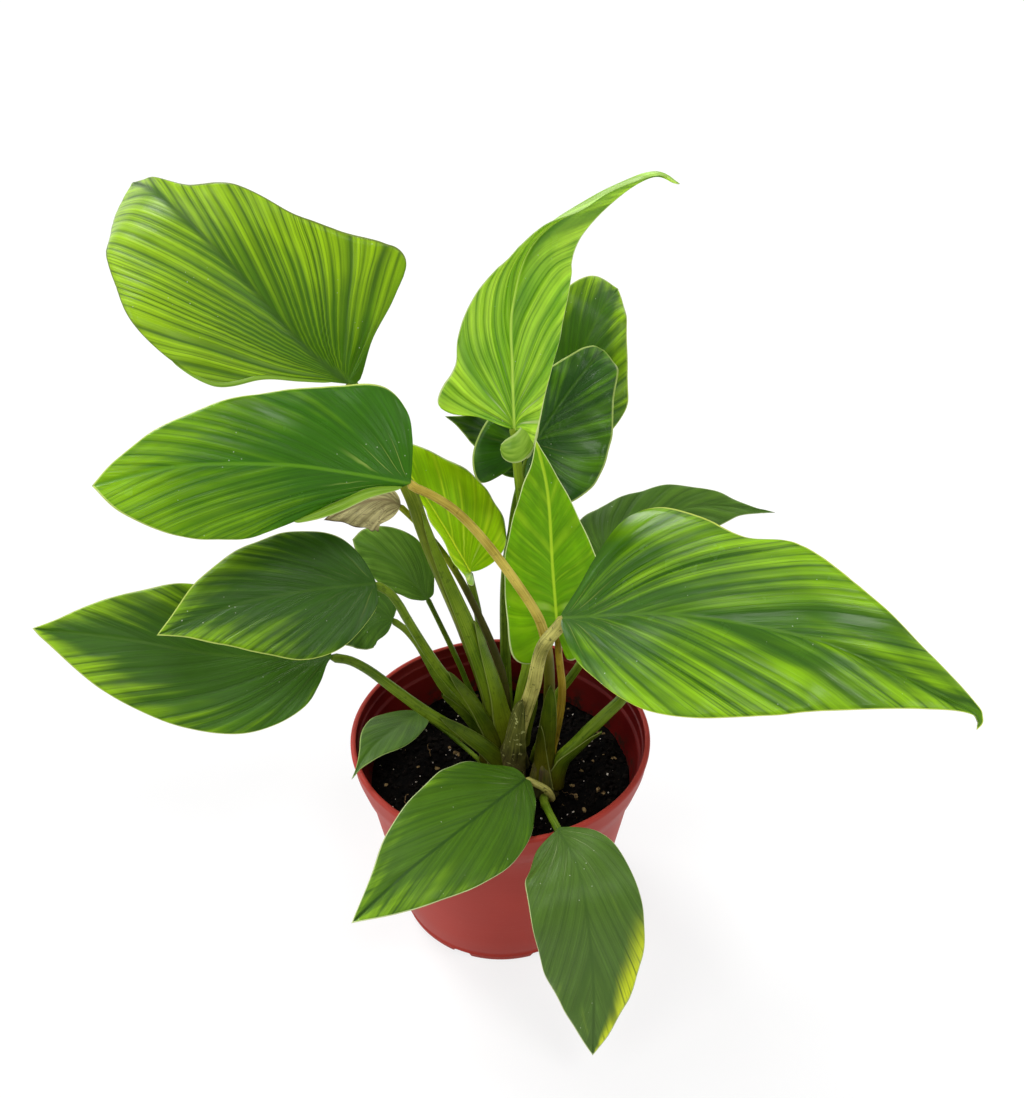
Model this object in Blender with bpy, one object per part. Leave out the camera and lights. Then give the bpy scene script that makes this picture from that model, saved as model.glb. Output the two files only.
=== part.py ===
"""Potted homalomena: nineteen stalked leaves on two crowns in a round nursery pot.

The origin is the middle of the pot's underside, +Z is up and the front of the
plant looks along -Y. Every length in the lists below is in millimetres and
every angle is in degrees; MM turns them into metres.
"""
import math

import bmesh
import bpy
import numpy as np
from mathutils import Vector
from mathutils.bvhtree import BVHTree

MM = 0.001

# ---- pot -----------------------------------------------------------------
POT_HEIGHT = 115.0
POT_RIM_RADIUS = 77.5          # outside of the rim
POT_BASE_RADIUS = 54.7         # outside of the foot
POT_WALL = 1.8
POT_FLOOR = 2.4
RIM_BAND = 20.0                # height of the thicker band round the top
RIM_STEP = 2.2                 # how far that band stands out from the wall
LEDGE_DROP = 12.0              # inner ring below the lip
LEDGE_STEP = 1.6
POT_SIDES = 64
DRAIN_COUNT = 8
DRAIN_WIDTH = 9.0
DRAIN_HEIGHT = 3.4

# ---- soil ----------------------------------------------------------------
SOIL_TOP = 87.0
SOIL_GAP = 0.4                 # between the soil and the pot
SOIL_SIDES = 48
SOIL_RISE = 1.6                # unevenness of the surface near the wall
SOIL_FLAT = 36.0               # level circle round the crowns

# ---- leaves and stalks ---------------------------------------------------
BLADE = 0.9                    # thickness of a leaf blade
CLEAR = 0.4                    # space kept between neighbouring pieces
FAN = 0.45                     # share of the side veins that leave the foot of the leaf
CORNER_SLACK = 0.06            # radians by which a lobe's corner may turn back
VEIN_TURN = 0.35               # how strongly the side veins bow
STALK_SIDES = 8
CROWN_SIDES = 24
TIP_RADIUS = 0.3               # rounded-off ends of a stalk
SEAT = 0.3                     # space between such an end and what it grows from
STALK_STEP = 7.0               # distance between the rings of a stalk


def heart_edge(half_width, length, lobe, point, wide):
    """Margin of one half of a plain heart-shaped blade, from its foot to its tip."""
    edge = [(0.0, 0.0),
            (0.17 * half_width, (0.012 - 0.7 * lobe) * length),
            (0.45 * half_width, (0.035 - lobe) * length),
            (0.74 * half_width, (0.10 - 0.65 * lobe) * length),
            (0.93 * half_width, 0.56 * wide * length)]
    for turn in (0.0, 0.2, 0.4, 0.6, 0.8, 1.0):
        out = math.cos(math.pi / 2 * turn) ** point
        edge.append((out * half_width, (wide + (1 - wide) * turn) * length))
    return edge


# A leaf is a midrib in space, the direction its upper side faces at the foot
# and at the tip, the margin of each half as (out from the midrib, along it),
# and how far each half folds up and curls at the foot and at the tip.
LEAVES = {
    "leaf_top_left": dict(
        midrib=[(-67, 20, 304), (-87, 28, 319), (-109, 40, 341),
                (-132, 55, 360), (-157, 80, 371), (-177, 115, 365)],
        face=(-0.3, -0.9, 0.3), face_tip=(-0.3, -0.7, 0.6),
        right=[(0, 0), (5, -3), (23, 3), (45, 6), (61, 12), (60, 33),
               (48, 51), (39, 66), (28, 93), (12, 115), (4, 146), (0, 170)],
        left=[(0, 0), (5, 7), (12, 17), (22, 28), (41, 39), (49, 64),
              (48, 92), (34, 129), (16, 162), (0, 170)],
        fold_right=(0, 20), fold_left=(45, 10),
        curl_right=(-5, -15), curl_left=(-10, -25), half=54, vein_turn=0.12, fan=0.1),
    "leaf_upper_left": dict(
        midrib=[(-37, -30, 282), (-62, -38, 292), (-88, -45, 300),
                (-126, -55, 305), (-161, -60, 299)],
        face=(0.1, -0.6, 0.75), face_tip=(0.1, -0.6, 0.75),
        right=[(0, 0), (6, 1), (19, 3), (31, 7), (39, 17), (36, 36),
               (32, 50), (27, 74), (19, 96), (8, 120), (0, 131)],
        left=[(0, 0), (7, 3), (19, 10), (27, 24), (31, 45), (32, 68),
              (31, 84), (26, 105), (14, 122), (0, 131)],
        fold_right=(30, 10), fold_left=(-55, 5),
        curl_right=(-30, -15), curl_left=(-70, -5), half=40),
    "leaf_top_centre": dict(
        midrib=[(7, 30, 275), (6, 30, 305), (6, 32, 335), (15, 35, 363),
                (39, 35, 382), (63, 30, 394), (74, 20, 393)],
        face=(-0.1, -1, 0.1), face_tip=(0.5, -0.8, -0.1),
        right=[(0, 0), (3, -9), (7, -14), (11, -5), (15, 16), (19, 33),
               (23, 52), (22, 85), (12, 110), (6, 128), (2, 147), (0, 163)],
        left=[(0, 0), (3, 1), (18, 11), (31, 16), (37, 24), (30, 40),
              (31, 54), (27, 74), (19, 92), (12, 112), (4, 140), (0, 163)],
        fold_right=(25, 10), fold_left=(30, 75),
        curl_right=(-25, 0), curl_left=(-20, 0), half=36),
    "leaf_large_right": dict(
        midrib=[(29, -40, 217), (74, -60, 234), (120, -78, 238),
                (149, -88, 233), (198, -100, 212)],
        face=(0, -0.6, 0.8), face_tip=(0, -0.6, 0.8),
        right=[(0, 0), (5, 1), (20, 10), (29, 20), (38, 34), (44, 51),
               (44, 74), (38, 99), (33, 115), (18, 146), (3, 178), (0, 187)],
        left=[(0, 0), (1, -1), (14, 8), (29, 16), (46, 26), (53, 40),
              (46, 58), (39, 76), (39, 98), (26, 127), (14, 157), (0, 187)],
        fold_right=(20, 10), fold_left=(15, 10),
        curl_right=(-40, -15), curl_left=(-40, -15), half=49),
    "leaf_back_right": dict(
        midrib=[(50, 30, 202), (71, 50, 207), (104, 70, 208), (147, 80, 198)],
        face=(0, -0.3, 0.95), face_tip=(0, -0.3, 0.95),
        right=heart_edge(26, 113, 0.08, 1.3, 0.33),
        left=[(0, 0), (9, -5), (20, 2), (24, 15), (22, 32), (19, 52),
              (13, 72), (7, 90), (2, 104), (0, 113)],
        fold_right=(10, 10), fold_left=(10, 10),
        curl_right=(-30, -15), curl_left=(-30, -15), half=32),
    "leaf_behind_right": dict(
        midrib=[(72, 15, 145), (93, 30, 161), (113, 50, 176), (138, 60, 187)],
        face=(0, -0.5, 0.8), face_tip=(0, -0.5, 0.8),
        right=heart_edge(25, 87, 0.04, 1.4, 0.33),
        left=heart_edge(25, 87, 0.04, 1.4, 0.33),
        fold_right=(10, 10), fold_left=(10, 10),
        curl_right=(-30, -15), curl_left=(-30, -15), half=28),
    "leaf_centre": dict(
        midrib=[(29, 10, 170), (26, 18, 204), (23, 23, 245), (17, 21, 275)],
        face=(0.05, -0.9, 0.2), face_tip=(0.05, -0.9, 0.2),
        right=[(0, 0), (4, -14), (12, -10), (19, 8), (23, 28), (22, 40),
               (13, 65), (6, 84), (0, 101)],
        left=[(0, 0), (6, -9), (16, -14), (24, -8), (25, 12), (24, 38),
              (21, 55), (13, 80), (5, 95), (0, 101)],
        fold_right=(8, 5), fold_left=(8, 5),
        curl_right=(0, 0), curl_left=(0, 0), half=25),
    "leaf_back_high": dict(
        midrib=[(23, 72, 247), (37, 100, 270), (51, 116, 296), (62, 140, 300)],
        face=(0.1, -0.8, 0.6), face_tip=(0.1, -0.8, 0.6),
        right=[(0, 0), (7, -6), (17, -4), (25, 8), (31, 22), (33, 34),
               (29, 45), (18, 68), (9, 87), (0, 101)],
        left=[(0, 0), (8, -8), (18, -4), (23, 15), (24, 42), (22, 72),
              (12, 94), (0, 101)],
        fold_right=(5, 10), fold_left=(5, 10),
        curl_right=(-20, -15), curl_left=(-20, -15), half=40),
    "leaf_back_inner": dict(
        midrib=[(16, 47, 257), (30, 63, 272), (45, 78, 286), (53, 95, 286)],
        face=(0, -0.8, 0.6), face_tip=(0, -0.8, 0.6),
        right=[(0, 0), (5, -14), (16, -24), (29, -16), (35, -4), (36, 6),
               (33, 19), (29, 30), (20, 44), (12, 58), (0, 84)],
        left=[(0, 0), (4, -18), (12, -30), (22, -22), (26, -6), (24, 12),
              (18, 30), (11, 48), (5, 64), (0, 84)],
        fold_right=(15, 20), fold_left=(30, 20),
        curl_right=(-30, -15), curl_left=(-30, -15), half=38),
    "leaf_back_left": dict(
        midrib=[(15, 70, 231), (0, 75, 246), (-13, 80, 250), (-28, 80, 256)],
        face=(0, -0.8, 0.6), face_tip=(0, -0.8, 0.6),
        right=heart_edge(13, 52, 0.05, 1.3, 0.33),
        left=heart_edge(14, 52, 0.05, 1.3, 0.33),
        fold_right=(5, 5), fold_left=(5, 5),
        curl_right=(-30, -15), curl_left=(-30, -15), half=14),
    "leaf_folded_centre": dict(
        midrib=[(-15, 30, 194), (-26, 35, 214), (-40, 45, 234), (-56, 50, 259)],
        face=(0.5, -0.8, 0.3), face_tip=(0.5, -0.8, 0.3),
        right=[(0, 0), (6, -2), (15, -2), (24, 2), (29, 11), (30, 26),
               (28, 41), (20, 54), (10, 70), (0, 79)],
        left=[(0, 0), (10, -3), (22, 2), (27, 14), (27, 30), (22, 48),
              (12, 66), (0, 79)],
        fold_right=(10, 5), fold_left=(70, 70),
        curl_right=(-20, -15), curl_left=(-20, -15), half=40),
    "leaf_withered": dict(
        midrib=[(-47, 20, 240), (-54, 16, 246), (-65, 12, 246), (-83, 10, 238)],
        face=(0, -0.6, 0.8), face_tip=(0, -0.6, 0.8),
        right=heart_edge(17, 40, 0.0, 1.2, 0.40),
        left=heart_edge(17, 40, 0.0, 1.2, 0.40),
        fold_right=(-20, -30), fold_left=(-20, -30),
        curl_right=(-50, -50), curl_left=(-50, -50), half=17),
    "leaf_inner_left": dict(
        midrib=[(-37, 30, 177), (-48, 30, 195), (-60, 32, 205), (-74, 36, 210)],
        face=(0.1, -0.9, 0.4), face_tip=(0.1, -0.9, 0.4),
        right=[(0, 0), (5, 2), (11, 12), (15, 22), (16, 30), (13, 40),
               (7, 49), (0, 52)],
        left=[(0, 0), (4, 3), (10, 12), (13, 24), (12, 36), (6, 47), (0, 52)],
        fold_right=(5, 5), fold_left=(5, 5),
        curl_right=(-10, -15), curl_left=(-10, -15), half=21),
    "leaf_middle_left": dict(
        midrib=[(-55, -30, 230), (-85, -40, 233), (-116, -50, 232), (-147, -60, 224)],
        face=(0, -0.65, 0.75), face_tip=(0, -0.65, 0.75),
        right=[(0, 0), (1, 0), (11, 4), (19, 9), (24, 16), (28, 31),
               (25, 52), (16, 73), (5, 90), (0, 97)],
        left=[(0, 0), (3, 0), (12, 2), (25, 15), (30, 27), (30, 41),
              (23, 59), (15, 74), (6, 87), (0, 97)],
        fold_right=(10, 10), fold_left=(10, 10),
        curl_right=(-25, -15), curl_left=(-25, -15), half=34),
    "leaf_low_left": dict(
        midrib=[(-80, -20, 180), (-132, -20, 181), (-179, -20, 191), (-219, -20, 197)],
        face=(0, -0.65, 0.75), face_tip=(0, -0.65, 0.75),
        right=[(0, 0), (5, 1), (14, 4), (26, 15), (34, 40), (32, 75),
               (24, 96), (13, 118), (5, 131), (0, 140)],
        left=[(0, 0), (4, 2), (13, 5), (24, 12), (33, 27), (37, 44),
              (35, 70), (25, 104), (6, 133), (0, 140)],
        fold_right=(5, 10), fold_left=(5, 10),
        curl_right=(-25, -15), curl_left=(-25, -15), half=39),
    "leaf_small_hidden": dict(
        midrib=[(-52, 0, 187), (-60, 0, 190), (-73, 0, 187), (-91, 0, 175)],
        face=(0, -0.65, 0.75), face_tip=(0, -0.65, 0.75),
        right=heart_edge(17, 43, 0.02, 1.2, 0.33),
        left=heart_edge(17, 43, 0.02, 1.2, 0.33),
        fold_right=(10, 10), fold_left=(10, 10),
        curl_right=(-25, -15), curl_left=(-25, -15), half=18),
    "leaf_rim_left": dict(
        midrib=[(-44, 25, 105), (-54, -1, 118), (-65, -25, 125), (-73, -43, 122)],
        face=(-0.2, -0.5, 0.8), face_tip=(-0.2, -0.5, 0.8),
        right=[(0, 0), (4, 1), (10, 7), (14, 16), (14, 34), (11, 50),
               (5, 66), (0, 77)],
        left=[(0, 0), (4, 2), (10, 9), (14, 22), (14, 38), (12, 57),
              (6, 71), (0, 77)],
        fold_right=(10, 10), fold_left=(10, 10),
        curl_right=(-10, -15), curl_left=(-10, -15), half=14, fan=0.1),
    "leaf_front_left": dict(
        midrib=[(13, -32, 112), (-9, -74, 130), (-39, -107, 130), (-65, -120, 110)],
        face=(-0.1, -0.6, 0.75), face_tip=(-0.1, -0.6, 0.75),
        right=[(0, 0), (6, 1), (14, 8), (25, 26), (28, 46), (25, 74),
               (19, 94), (10, 110), (0, 131)],
        left=[(0, 0), (4, 2), (12, 14), (22, 36), (27, 57), (25, 76),
              (19, 95), (11, 112), (0, 131)],
        fold_right=(8, 5), fold_left=(8, 5),
        curl_right=(-15, -15), curl_left=(-15, -15), half=30, fan=0.1),
    "leaf_front_right": dict(
        midrib=[(27, -78, 125), (35, -101, 127), (39, -119, 115),
                (43, -125, 75), (44, -131, 30)],
        face=(0, -0.8, 0.6), face_tip=(0, -0.8, 0.6),
        right=[(0, 0), (2, 1), (15, 6), (23, 18), (25, 38), (22, 78),
               (15, 100), (8, 117), (0, 133)],
        left=[(0, 0), (2, 1), (15, 16), (21, 28), (25, 49), (23, 74),
              (17, 95), (8, 118), (0, 133)],
        fold_right=(8, 5), fold_left=(8, 5),
        curl_right=(-15, -15), curl_left=(-15, -15), half=24, fan=0.1),
}

# Cells along and across each half of a blade.
CELLS_LARGE = (13, 4)
CELLS_SMALL = (10, 3)
LARGE = ("leaf_top_left", "leaf_upper_left", "leaf_top_centre",
         "leaf_large_right", "leaf_low_left")

# A stalk runs from its crown to the foot of its leaf. Its radius goes from the
# first value at the crown to the second at the leaf.
STALKS = {
    "leaf_top_left": dict(
        path=[(1, 4, 97), (-4, 6, 131), (-17, 10, 174), (-33, 14, 219),
              (-40, 16, 244), (-52, 18, 274), (-67, 20, 304)], radius=(6.6, 2.8)),
    "leaf_upper_left": dict(
        path=[(21, -10, 88), (24, -12, 130), (24, -14, 168), (20, -18, 197),
              (10, -22, 221), (-8, -26, 253), (-23, -30, 273), (-37, -30, 282)],
        radius=(5.0, 2.3)),
    "leaf_large_right": dict(
        path=[(7, -10, 106), (10, -14, 131), (16, -22, 162), (20, -30, 193),
              (29, -40, 217)], radius=(5.0, 3.0)),
    "leaf_behind_right": dict(
        path=[(25, -14, 90), (36, -12, 112), (51, -6, 128), (62, 0, 136),
              (72, 15, 145)], radius=(4.6, 2.6)),
    "leaf_low_left": dict(
        path=[(4, -8, 97), (-15, -12, 120), (-37, -15, 141), (-58, -18, 165),
              (-69, -20, 177), (-80, -20, 180)], radius=(4.6, 2.1)),
    "leaf_middle_left": dict(
        path=[(-1, -1, 100), (-14, -4, 134), (-29, -10, 163), (-41, -20, 198),
              (-48, -27, 221), (-55, -30, 230)], radius=(3.6, 1.9)),
    "leaf_top_centre": dict(
        path=[(6, 8, 93), (11, 16, 129), (17, 26, 155),
              (16, 32, 189), (11, 31, 231), (7, 29, 273)], radius=(3.4, 2.2)),
    "leaf_centre": dict(
        path=[(25, -4, 95), (30, 2, 120), (32, 8, 136), (30, 12, 153), (29, 10, 170)],
        radius=(3.2, 2.2)),
    "leaf_back_right": dict(
        path=[(24, 12, 94), (28, 18, 119), (41, 20, 142), (51, 22, 171),
              (50, 30, 202)], radius=(2.8, 1.9)),
    "leaf_back_inner": dict(
        path=[(4, 20, 94), (3, 30, 124), (2, 38, 159),
              (3, 44, 193), (8, 48, 226), (16, 47, 257)], radius=(3.6, 2.0)),
    "leaf_back_high": dict(
        path=[(16, 20, 87), (18, 38, 118), (21, 60, 155),
              (23, 70, 200), (23, 72, 247)], radius=(3.0, 2.0)),
    "leaf_folded_centre": dict(
        path=[(-2, 14, 100), (-6, 20, 126), (-11, 28, 166), (-15, 30, 194)],
        radius=(3.2, 1.9)),
    "leaf_withered": dict(
        path=[(6, 12, 94), (1, 18, 139), (-14, 24, 180), (-25, 24, 205),
              (-36, 22, 224), (-47, 20, 240)], radius=(2.6, 1.5)),
    "leaf_small_hidden": dict(
        path=[(-2, 2, 100), (-18, 0, 128), (-30, 0, 146), (-42, 0, 175),
              (-52, 0, 187)], radius=(3.0, 1.6)),
    "leaf_inner_left": dict(
        path=[(1, 12, 102), (-14, 24, 116), (-22, 30, 135),
              (-29, 30, 155), (-37, 30, 177)], radius=(1.8, 1.3)),
    "leaf_rim_left": dict(
        path=[(-11, 3, 90), (-28, 20, 94), (-44, 25, 105)], radius=(1.5, 1.1)),
    "leaf_back_left": dict(
        path=[(10, 30, 90), (13, 45, 126), (16, 60, 182), (15, 70, 231)],
        radius=(2.0, 1.3)),
    "leaf_front_left": dict(
        path=[(22, -22, 89), (27, -31, 97), (22, -35, 109), (13, -32, 112)],
        radius=(2.6, 1.7)),
    "leaf_front_right": dict(
        path=[(24, -20, 89), (22, -34, 100), (23, -59, 118), (27, -78, 125)],
        radius=(2.6, 1.7)),
}

# The two crowns are the bundled leaf bases the stalks rise from.
CROWNS = {
    "crown_left": dict(path=[(4, 2, 87.4), (3, 3, 98), (2, 4, 108)], radius=(12.0, 8.0)),
    "crown_right": dict(path=[(23, -13, 87.4), (23, -12, 96), (23, -11, 105)],
                        radius=(10.0, 6.5)),
}

# colour, roughness
FINISH = {
    "pot": ((0.36, 0.052, 0.035), 0.42),
    "soil": ((0.020, 0.013, 0.009), 0.95),
    "crown": ((0.120, 0.150, 0.035), 0.55),
    "leaf_bright": ((0.130, 0.310, 0.012), 0.38),
    "leaf_dark": ((0.035, 0.130, 0.012), 0.38),
    "leaf_withered": ((0.300, 0.230, 0.120), 0.70),
    "stalk_green": ((0.130, 0.210, 0.030), 0.45),
    "stalk_tan": ((0.420, 0.300, 0.100), 0.50),
}
BRIGHT = ("leaf_top_left", "leaf_top_centre", "leaf_centre", "leaf_folded_centre",
          "leaf_large_right")
TAN = ("leaf_upper_left", "leaf_centre", "leaf_withered")


# ---- curves --------------------------------------------------------------
def smooth_curve(points, count):
    """Points of the smooth curve through the given ones, evenly spread over the spans."""
    given = np.asarray(points, float)
    padded = np.vstack([2 * given[0] - given[1], given, 2 * given[-1] - given[-2]])
    place = np.linspace(0, len(given) - 1, count)
    span = np.minimum(place.astype(int), len(given) - 2)
    part = (place - span).reshape(-1, 1)
    a, b, c, d = (padded[span + k] for k in range(4))
    return 0.5 * (2 * b + (c - a) * part + (2 * a - 5 * b + 4 * c - d) * part ** 2
                  + (3 * b - a - 3 * c + d) * part ** 3)


def lengths_along(curve):
    steps = np.linalg.norm(np.diff(curve, axis=0), axis=1)
    return np.concatenate([[0.0], np.cumsum(steps)])


def at_length(curve, run, where):
    """Points of a curve at the given distances from its start."""
    return np.stack([np.interp(where, run, curve[:, k]) for k in range(curve.shape[1])], 1)


def unit(vectors):
    size = np.linalg.norm(vectors, axis=-1, keepdims=True)
    return vectors / np.maximum(size, 1e-9)


# ---- leaf blades ---------------------------------------------------------
def lobe_corner(curve, run):
    """Distance along a margin to the corner of its lobe, seen from the leaf's foot."""
    angle = np.arctan2(curve[:, 0], curve[:, 1])
    reach = np.hypot(curve[:, 0], curve[:, 1])
    outer = reach > 0.3 * curve[:, 0].max()
    widest = angle[outer].max()
    return run[np.nonzero(outer & (angle > widest - CORNER_SLACK))[0][-1]]


def flat_half(edge, length, along, across, turn, fan):
    """A pressed half blade. Its first row is the margin from the leaf's foot to the
    corner of the lobe, the other rows follow the side veins, and the columns run
    out from the midrib to the margin. Points are complex: along + i * out."""
    curve = smooth_curve(edge, 160)
    curve[:, 0] = np.maximum(curve[:, 0], 0.0)
    run = lengths_along(curve)
    corner = lobe_corner(curve, run)
    share = np.linspace(0, 1, across + 1)
    basal = at_length(curve, run, share * corner)
    basal = basal[:, 1] + 1j * basal[:, 0]
    basal = basal / basal[-1]
    vein = np.linspace(0, 1, along + 1)
    margin = at_length(curve, run, corner + vein * (run[-1] - corner))
    margin = margin[:, 1] + 1j * margin[:, 0]
    start = length * np.clip((vein - fan) / (1 - fan), 0, 1) ** 1.15
    swing = turn * np.angle(margin - start) * np.minimum(1, 2 * vein - 0.1)
    blend = np.clip(vein / 0.2, 0, 1).reshape(-1, 1)
    bowed = (share * (1 - share) * np.exp(1j * swing.reshape(-1, 1)) + share ** 2)
    shape = (1 - blend) * basal + blend * bowed
    grid = start.reshape(-1, 1) + (margin - start).reshape(-1, 1) * shape
    return np.stack([grid.imag, grid.real], -1)


def raise_half(leaf, side, flat):
    """Carry a pressed half blade onto the leaf's midrib, folded and curled."""
    key = "right" if side > 0 else "left"
    curve = smooth_curve(leaf["midrib"], 240)
    run = lengths_along(curve)
    length = run[-1]
    out = flat[..., 0].ravel()
    along = flat[..., 1].ravel()
    held = np.clip(along, 0, length)
    origin = at_length(curve, run, held)
    ahead = at_length(curve, run, np.clip(held + 2, 0, length))
    behind = at_length(curve, run, np.clip(held - 2, 0, length))
    forward = unit(ahead - behind)
    share = (held / length).reshape(-1, 1)
    ease = share * share * (3 - 2 * share)
    facing = (unit(np.array(leaf["face"], float)) * (1 - ease)
              + unit(np.array(leaf["face_tip"], float)) * ease)
    normal = unit(facing - np.sum(facing * forward, 1, keepdims=True) * forward)
    outward = np.cross(forward, normal) * side
    foot_fold, tip_fold = leaf["fold_" + key]
    foot_curl, tip_curl = leaf["curl_" + key]
    share = share.ravel()
    fold = np.radians(foot_fold + (tip_fold - foot_fold) * share)
    bend = np.radians(foot_curl + (tip_curl - foot_curl) * share) / leaf["half"]
    bend = np.where(np.abs(bend) < 1e-6, 1e-6, bend)
    sideways = (np.sin(fold + bend * out) - np.sin(fold)) / bend
    upward = (np.cos(fold) - np.cos(fold + bend * out)) / bend
    spot = (origin + forward * (along - held).reshape(-1, 1)
            + outward * sideways.reshape(-1, 1) + normal * upward.reshape(-1, 1))
    return spot.reshape(flat.shape[0], flat.shape[1], 3)


def split_ring(ring, spots):
    """A ring of three or four corners as triangles, cut where it creases least."""
    if len(ring) < 3:
        return []
    if len(ring) == 3:
        return [ring]
    a, b, c, d = ring

    def agreement(cut):
        first, second = (np.cross(spots[q] - spots[p], spots[r] - spots[p])
                         for p, q, r in cut)
        return np.dot(first, second) / (np.linalg.norm(first) * np.linalg.norm(second) + 1e-9)

    return max(([[a, b, c], [a, c, d]], [[a, b, d], [b, c, d]]), key=agreement)


def sheet_of(halves):
    """One sheet of faces from the two half grids, shared along the midrib."""
    spots = []
    index = {}

    def number(point):
        key = tuple(np.round(point, 2))
        if key not in index:
            index[key] = len(spots)
            spots.append(point)
        return index[key]

    faces = []
    for side, grid in halves:
        rows, cols = grid.shape[0] - 1, grid.shape[1] - 1
        for r in range(rows):
            for c in range(cols):
                ring = [number(grid[r, c]), number(grid[r, c + 1]),
                        number(grid[r + 1, c + 1]), number(grid[r + 1, c])]
                if side < 0:
                    ring.reverse()
                faces += split_ring([v for k, v in enumerate(ring) if v != ring[k - 1]],
                                    spots)
    return np.array(spots), faces


def thicken(spots, faces, thickness):
    """A closed blade: the sheet moved half the thickness to each side, joined at its edge."""
    normals = np.zeros_like(spots)
    for ring in faces:
        corners = spots[ring]
        middle = corners.mean(axis=0)
        for k in range(len(ring)):
            a = corners[k] - middle
            b = corners[(k + 1) % len(ring)] - middle
            normals[ring] += np.cross(a, b)
    normals = unit(normals)
    count = len(spots)
    body = np.vstack([spots + normals * thickness / 2, spots - normals * thickness / 2])
    rings = [list(ring) for ring in faces]
    rings += [[v + count for v in reversed(ring)] for ring in faces]
    edges = {}
    for ring in faces:
        for k, a in enumerate(ring):
            edges[(a, ring[(k + 1) % len(ring)])] = True
    for a, b in edges:
        if (b, a) not in edges:
            rings.append([b, a, a + count, b + count])
    return body, rings


def blade_halves(leaf, cells):
    length = lengths_along(smooth_curve(leaf["midrib"], 240))[-1]
    halves = []
    for side, key in ((1, "right"), (-1, "left")):
        edge = [tuple(p) for p in leaf[key]]
        edge[-1] = (0.0, length)
        flat = flat_half(edge, length, cells[0], cells[1],
                         leaf.get("vein_turn", VEIN_TURN), leaf.get("fan", FAN))
        halves.append((side, raise_half(leaf, side, flat)))
    return halves


# ---- tubes ---------------------------------------------------------------
def ring_frames(centres):
    """Two directions across the curve at each centre, carried along without twist."""
    forward = unit(np.gradient(centres, axis=0))
    across = np.cross(forward[0], (0.0, 1.0, 0.0))
    if np.linalg.norm(across) < 0.2:
        across = np.cross(forward[0], (1.0, 0.0, 0.0))
    frames = []
    for ahead in forward:
        across = across - np.dot(across, ahead) * ahead
        across = across / np.linalg.norm(across)
        frames.append((across, np.cross(ahead, across)))
    return frames


def tube(centres, radii, sides):
    """A closed tube with flat ends."""
    spots = []
    for centre, radius, (a, b) in zip(centres, radii, ring_frames(centres)):
        for k in range(sides):
            turn = 2 * math.pi * k / sides
            spots.append(centre + radius * (a * math.cos(turn) + b * math.sin(turn)))
    faces = [list(range(sides))[::-1]]
    for r in range(len(centres) - 1):
        for k in range(sides):
            n = (k + 1) % sides
            faces.append([r * sides + k, r * sides + n,
                          (r + 1) * sides + n, (r + 1) * sides + k])
    last = (len(centres) - 1) * sides
    faces.append(list(range(last, last + sides)))
    return np.array(spots), faces


def turned(profile, sides):
    """A body turned about the vertical axis; the profile is closed and starts on the axis."""
    spots = []
    rings = []
    for radius, height in profile:
        if radius < 1e-6:
            rings.append([len(spots)])
            spots.append((0.0, 0.0, height))
            continue
        rings.append(list(range(len(spots), len(spots) + sides)))
        for k in range(sides):
            turn = 2 * math.pi * k / sides
            spots.append((radius * math.cos(turn), radius * math.sin(turn), height))
    faces = []
    for low, high in zip(rings, rings[1:]):
        for k in range(sides):
            n = (k + 1) % sides
            ring = [low[k % len(low)], low[n % len(low)],
                    high[n % len(high)], high[k % len(high)]]
            faces.append([v for i, v in enumerate(ring) if v != ring[i - 1]])
    return np.array(spots, float), faces


# ---- objects -------------------------------------------------------------
MATERIALS = {}


def material(name):
    if name not in MATERIALS:
        colour, roughness = FINISH[name]
        made = bpy.data.materials.new(name)
        made.use_nodes = True
        shader = made.node_tree.nodes["Principled BSDF"]
        shader.inputs["Base Color"].default_value = (*colour, 1.0)
        shader.inputs["Roughness"].default_value = roughness
        made.diffuse_color = (*colour, 1.0)
        MATERIALS[name] = made
    return MATERIALS[name]


def add_object(name, spots, faces, finish):
    mesh = bpy.data.meshes.new(name)
    mesh.from_pydata([tuple(np.asarray(p) * MM) for p in spots], [], faces)
    body = bmesh.new()
    body.from_mesh(mesh)
    bmesh.ops.recalc_face_normals(body, faces=body.faces)
    bmesh.ops.triangulate(body, faces=[f for f in body.faces if len(f.verts) > 4])
    body.to_mesh(mesh)
    body.free()
    mesh.update()
    mesh.materials.append(material(finish))
    made = bpy.data.objects.new(name, mesh)
    bpy.context.scene.collection.objects.link(made)
    return made


# ---- pot and soil --------------------------------------------------------
def outer_radius(height):
    """Outside of the pot wall below the rim band."""
    top = POT_RIM_RADIUS - RIM_STEP - 0.6
    return POT_BASE_RADIUS + (top - POT_BASE_RADIUS) * height / POT_HEIGHT


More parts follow.
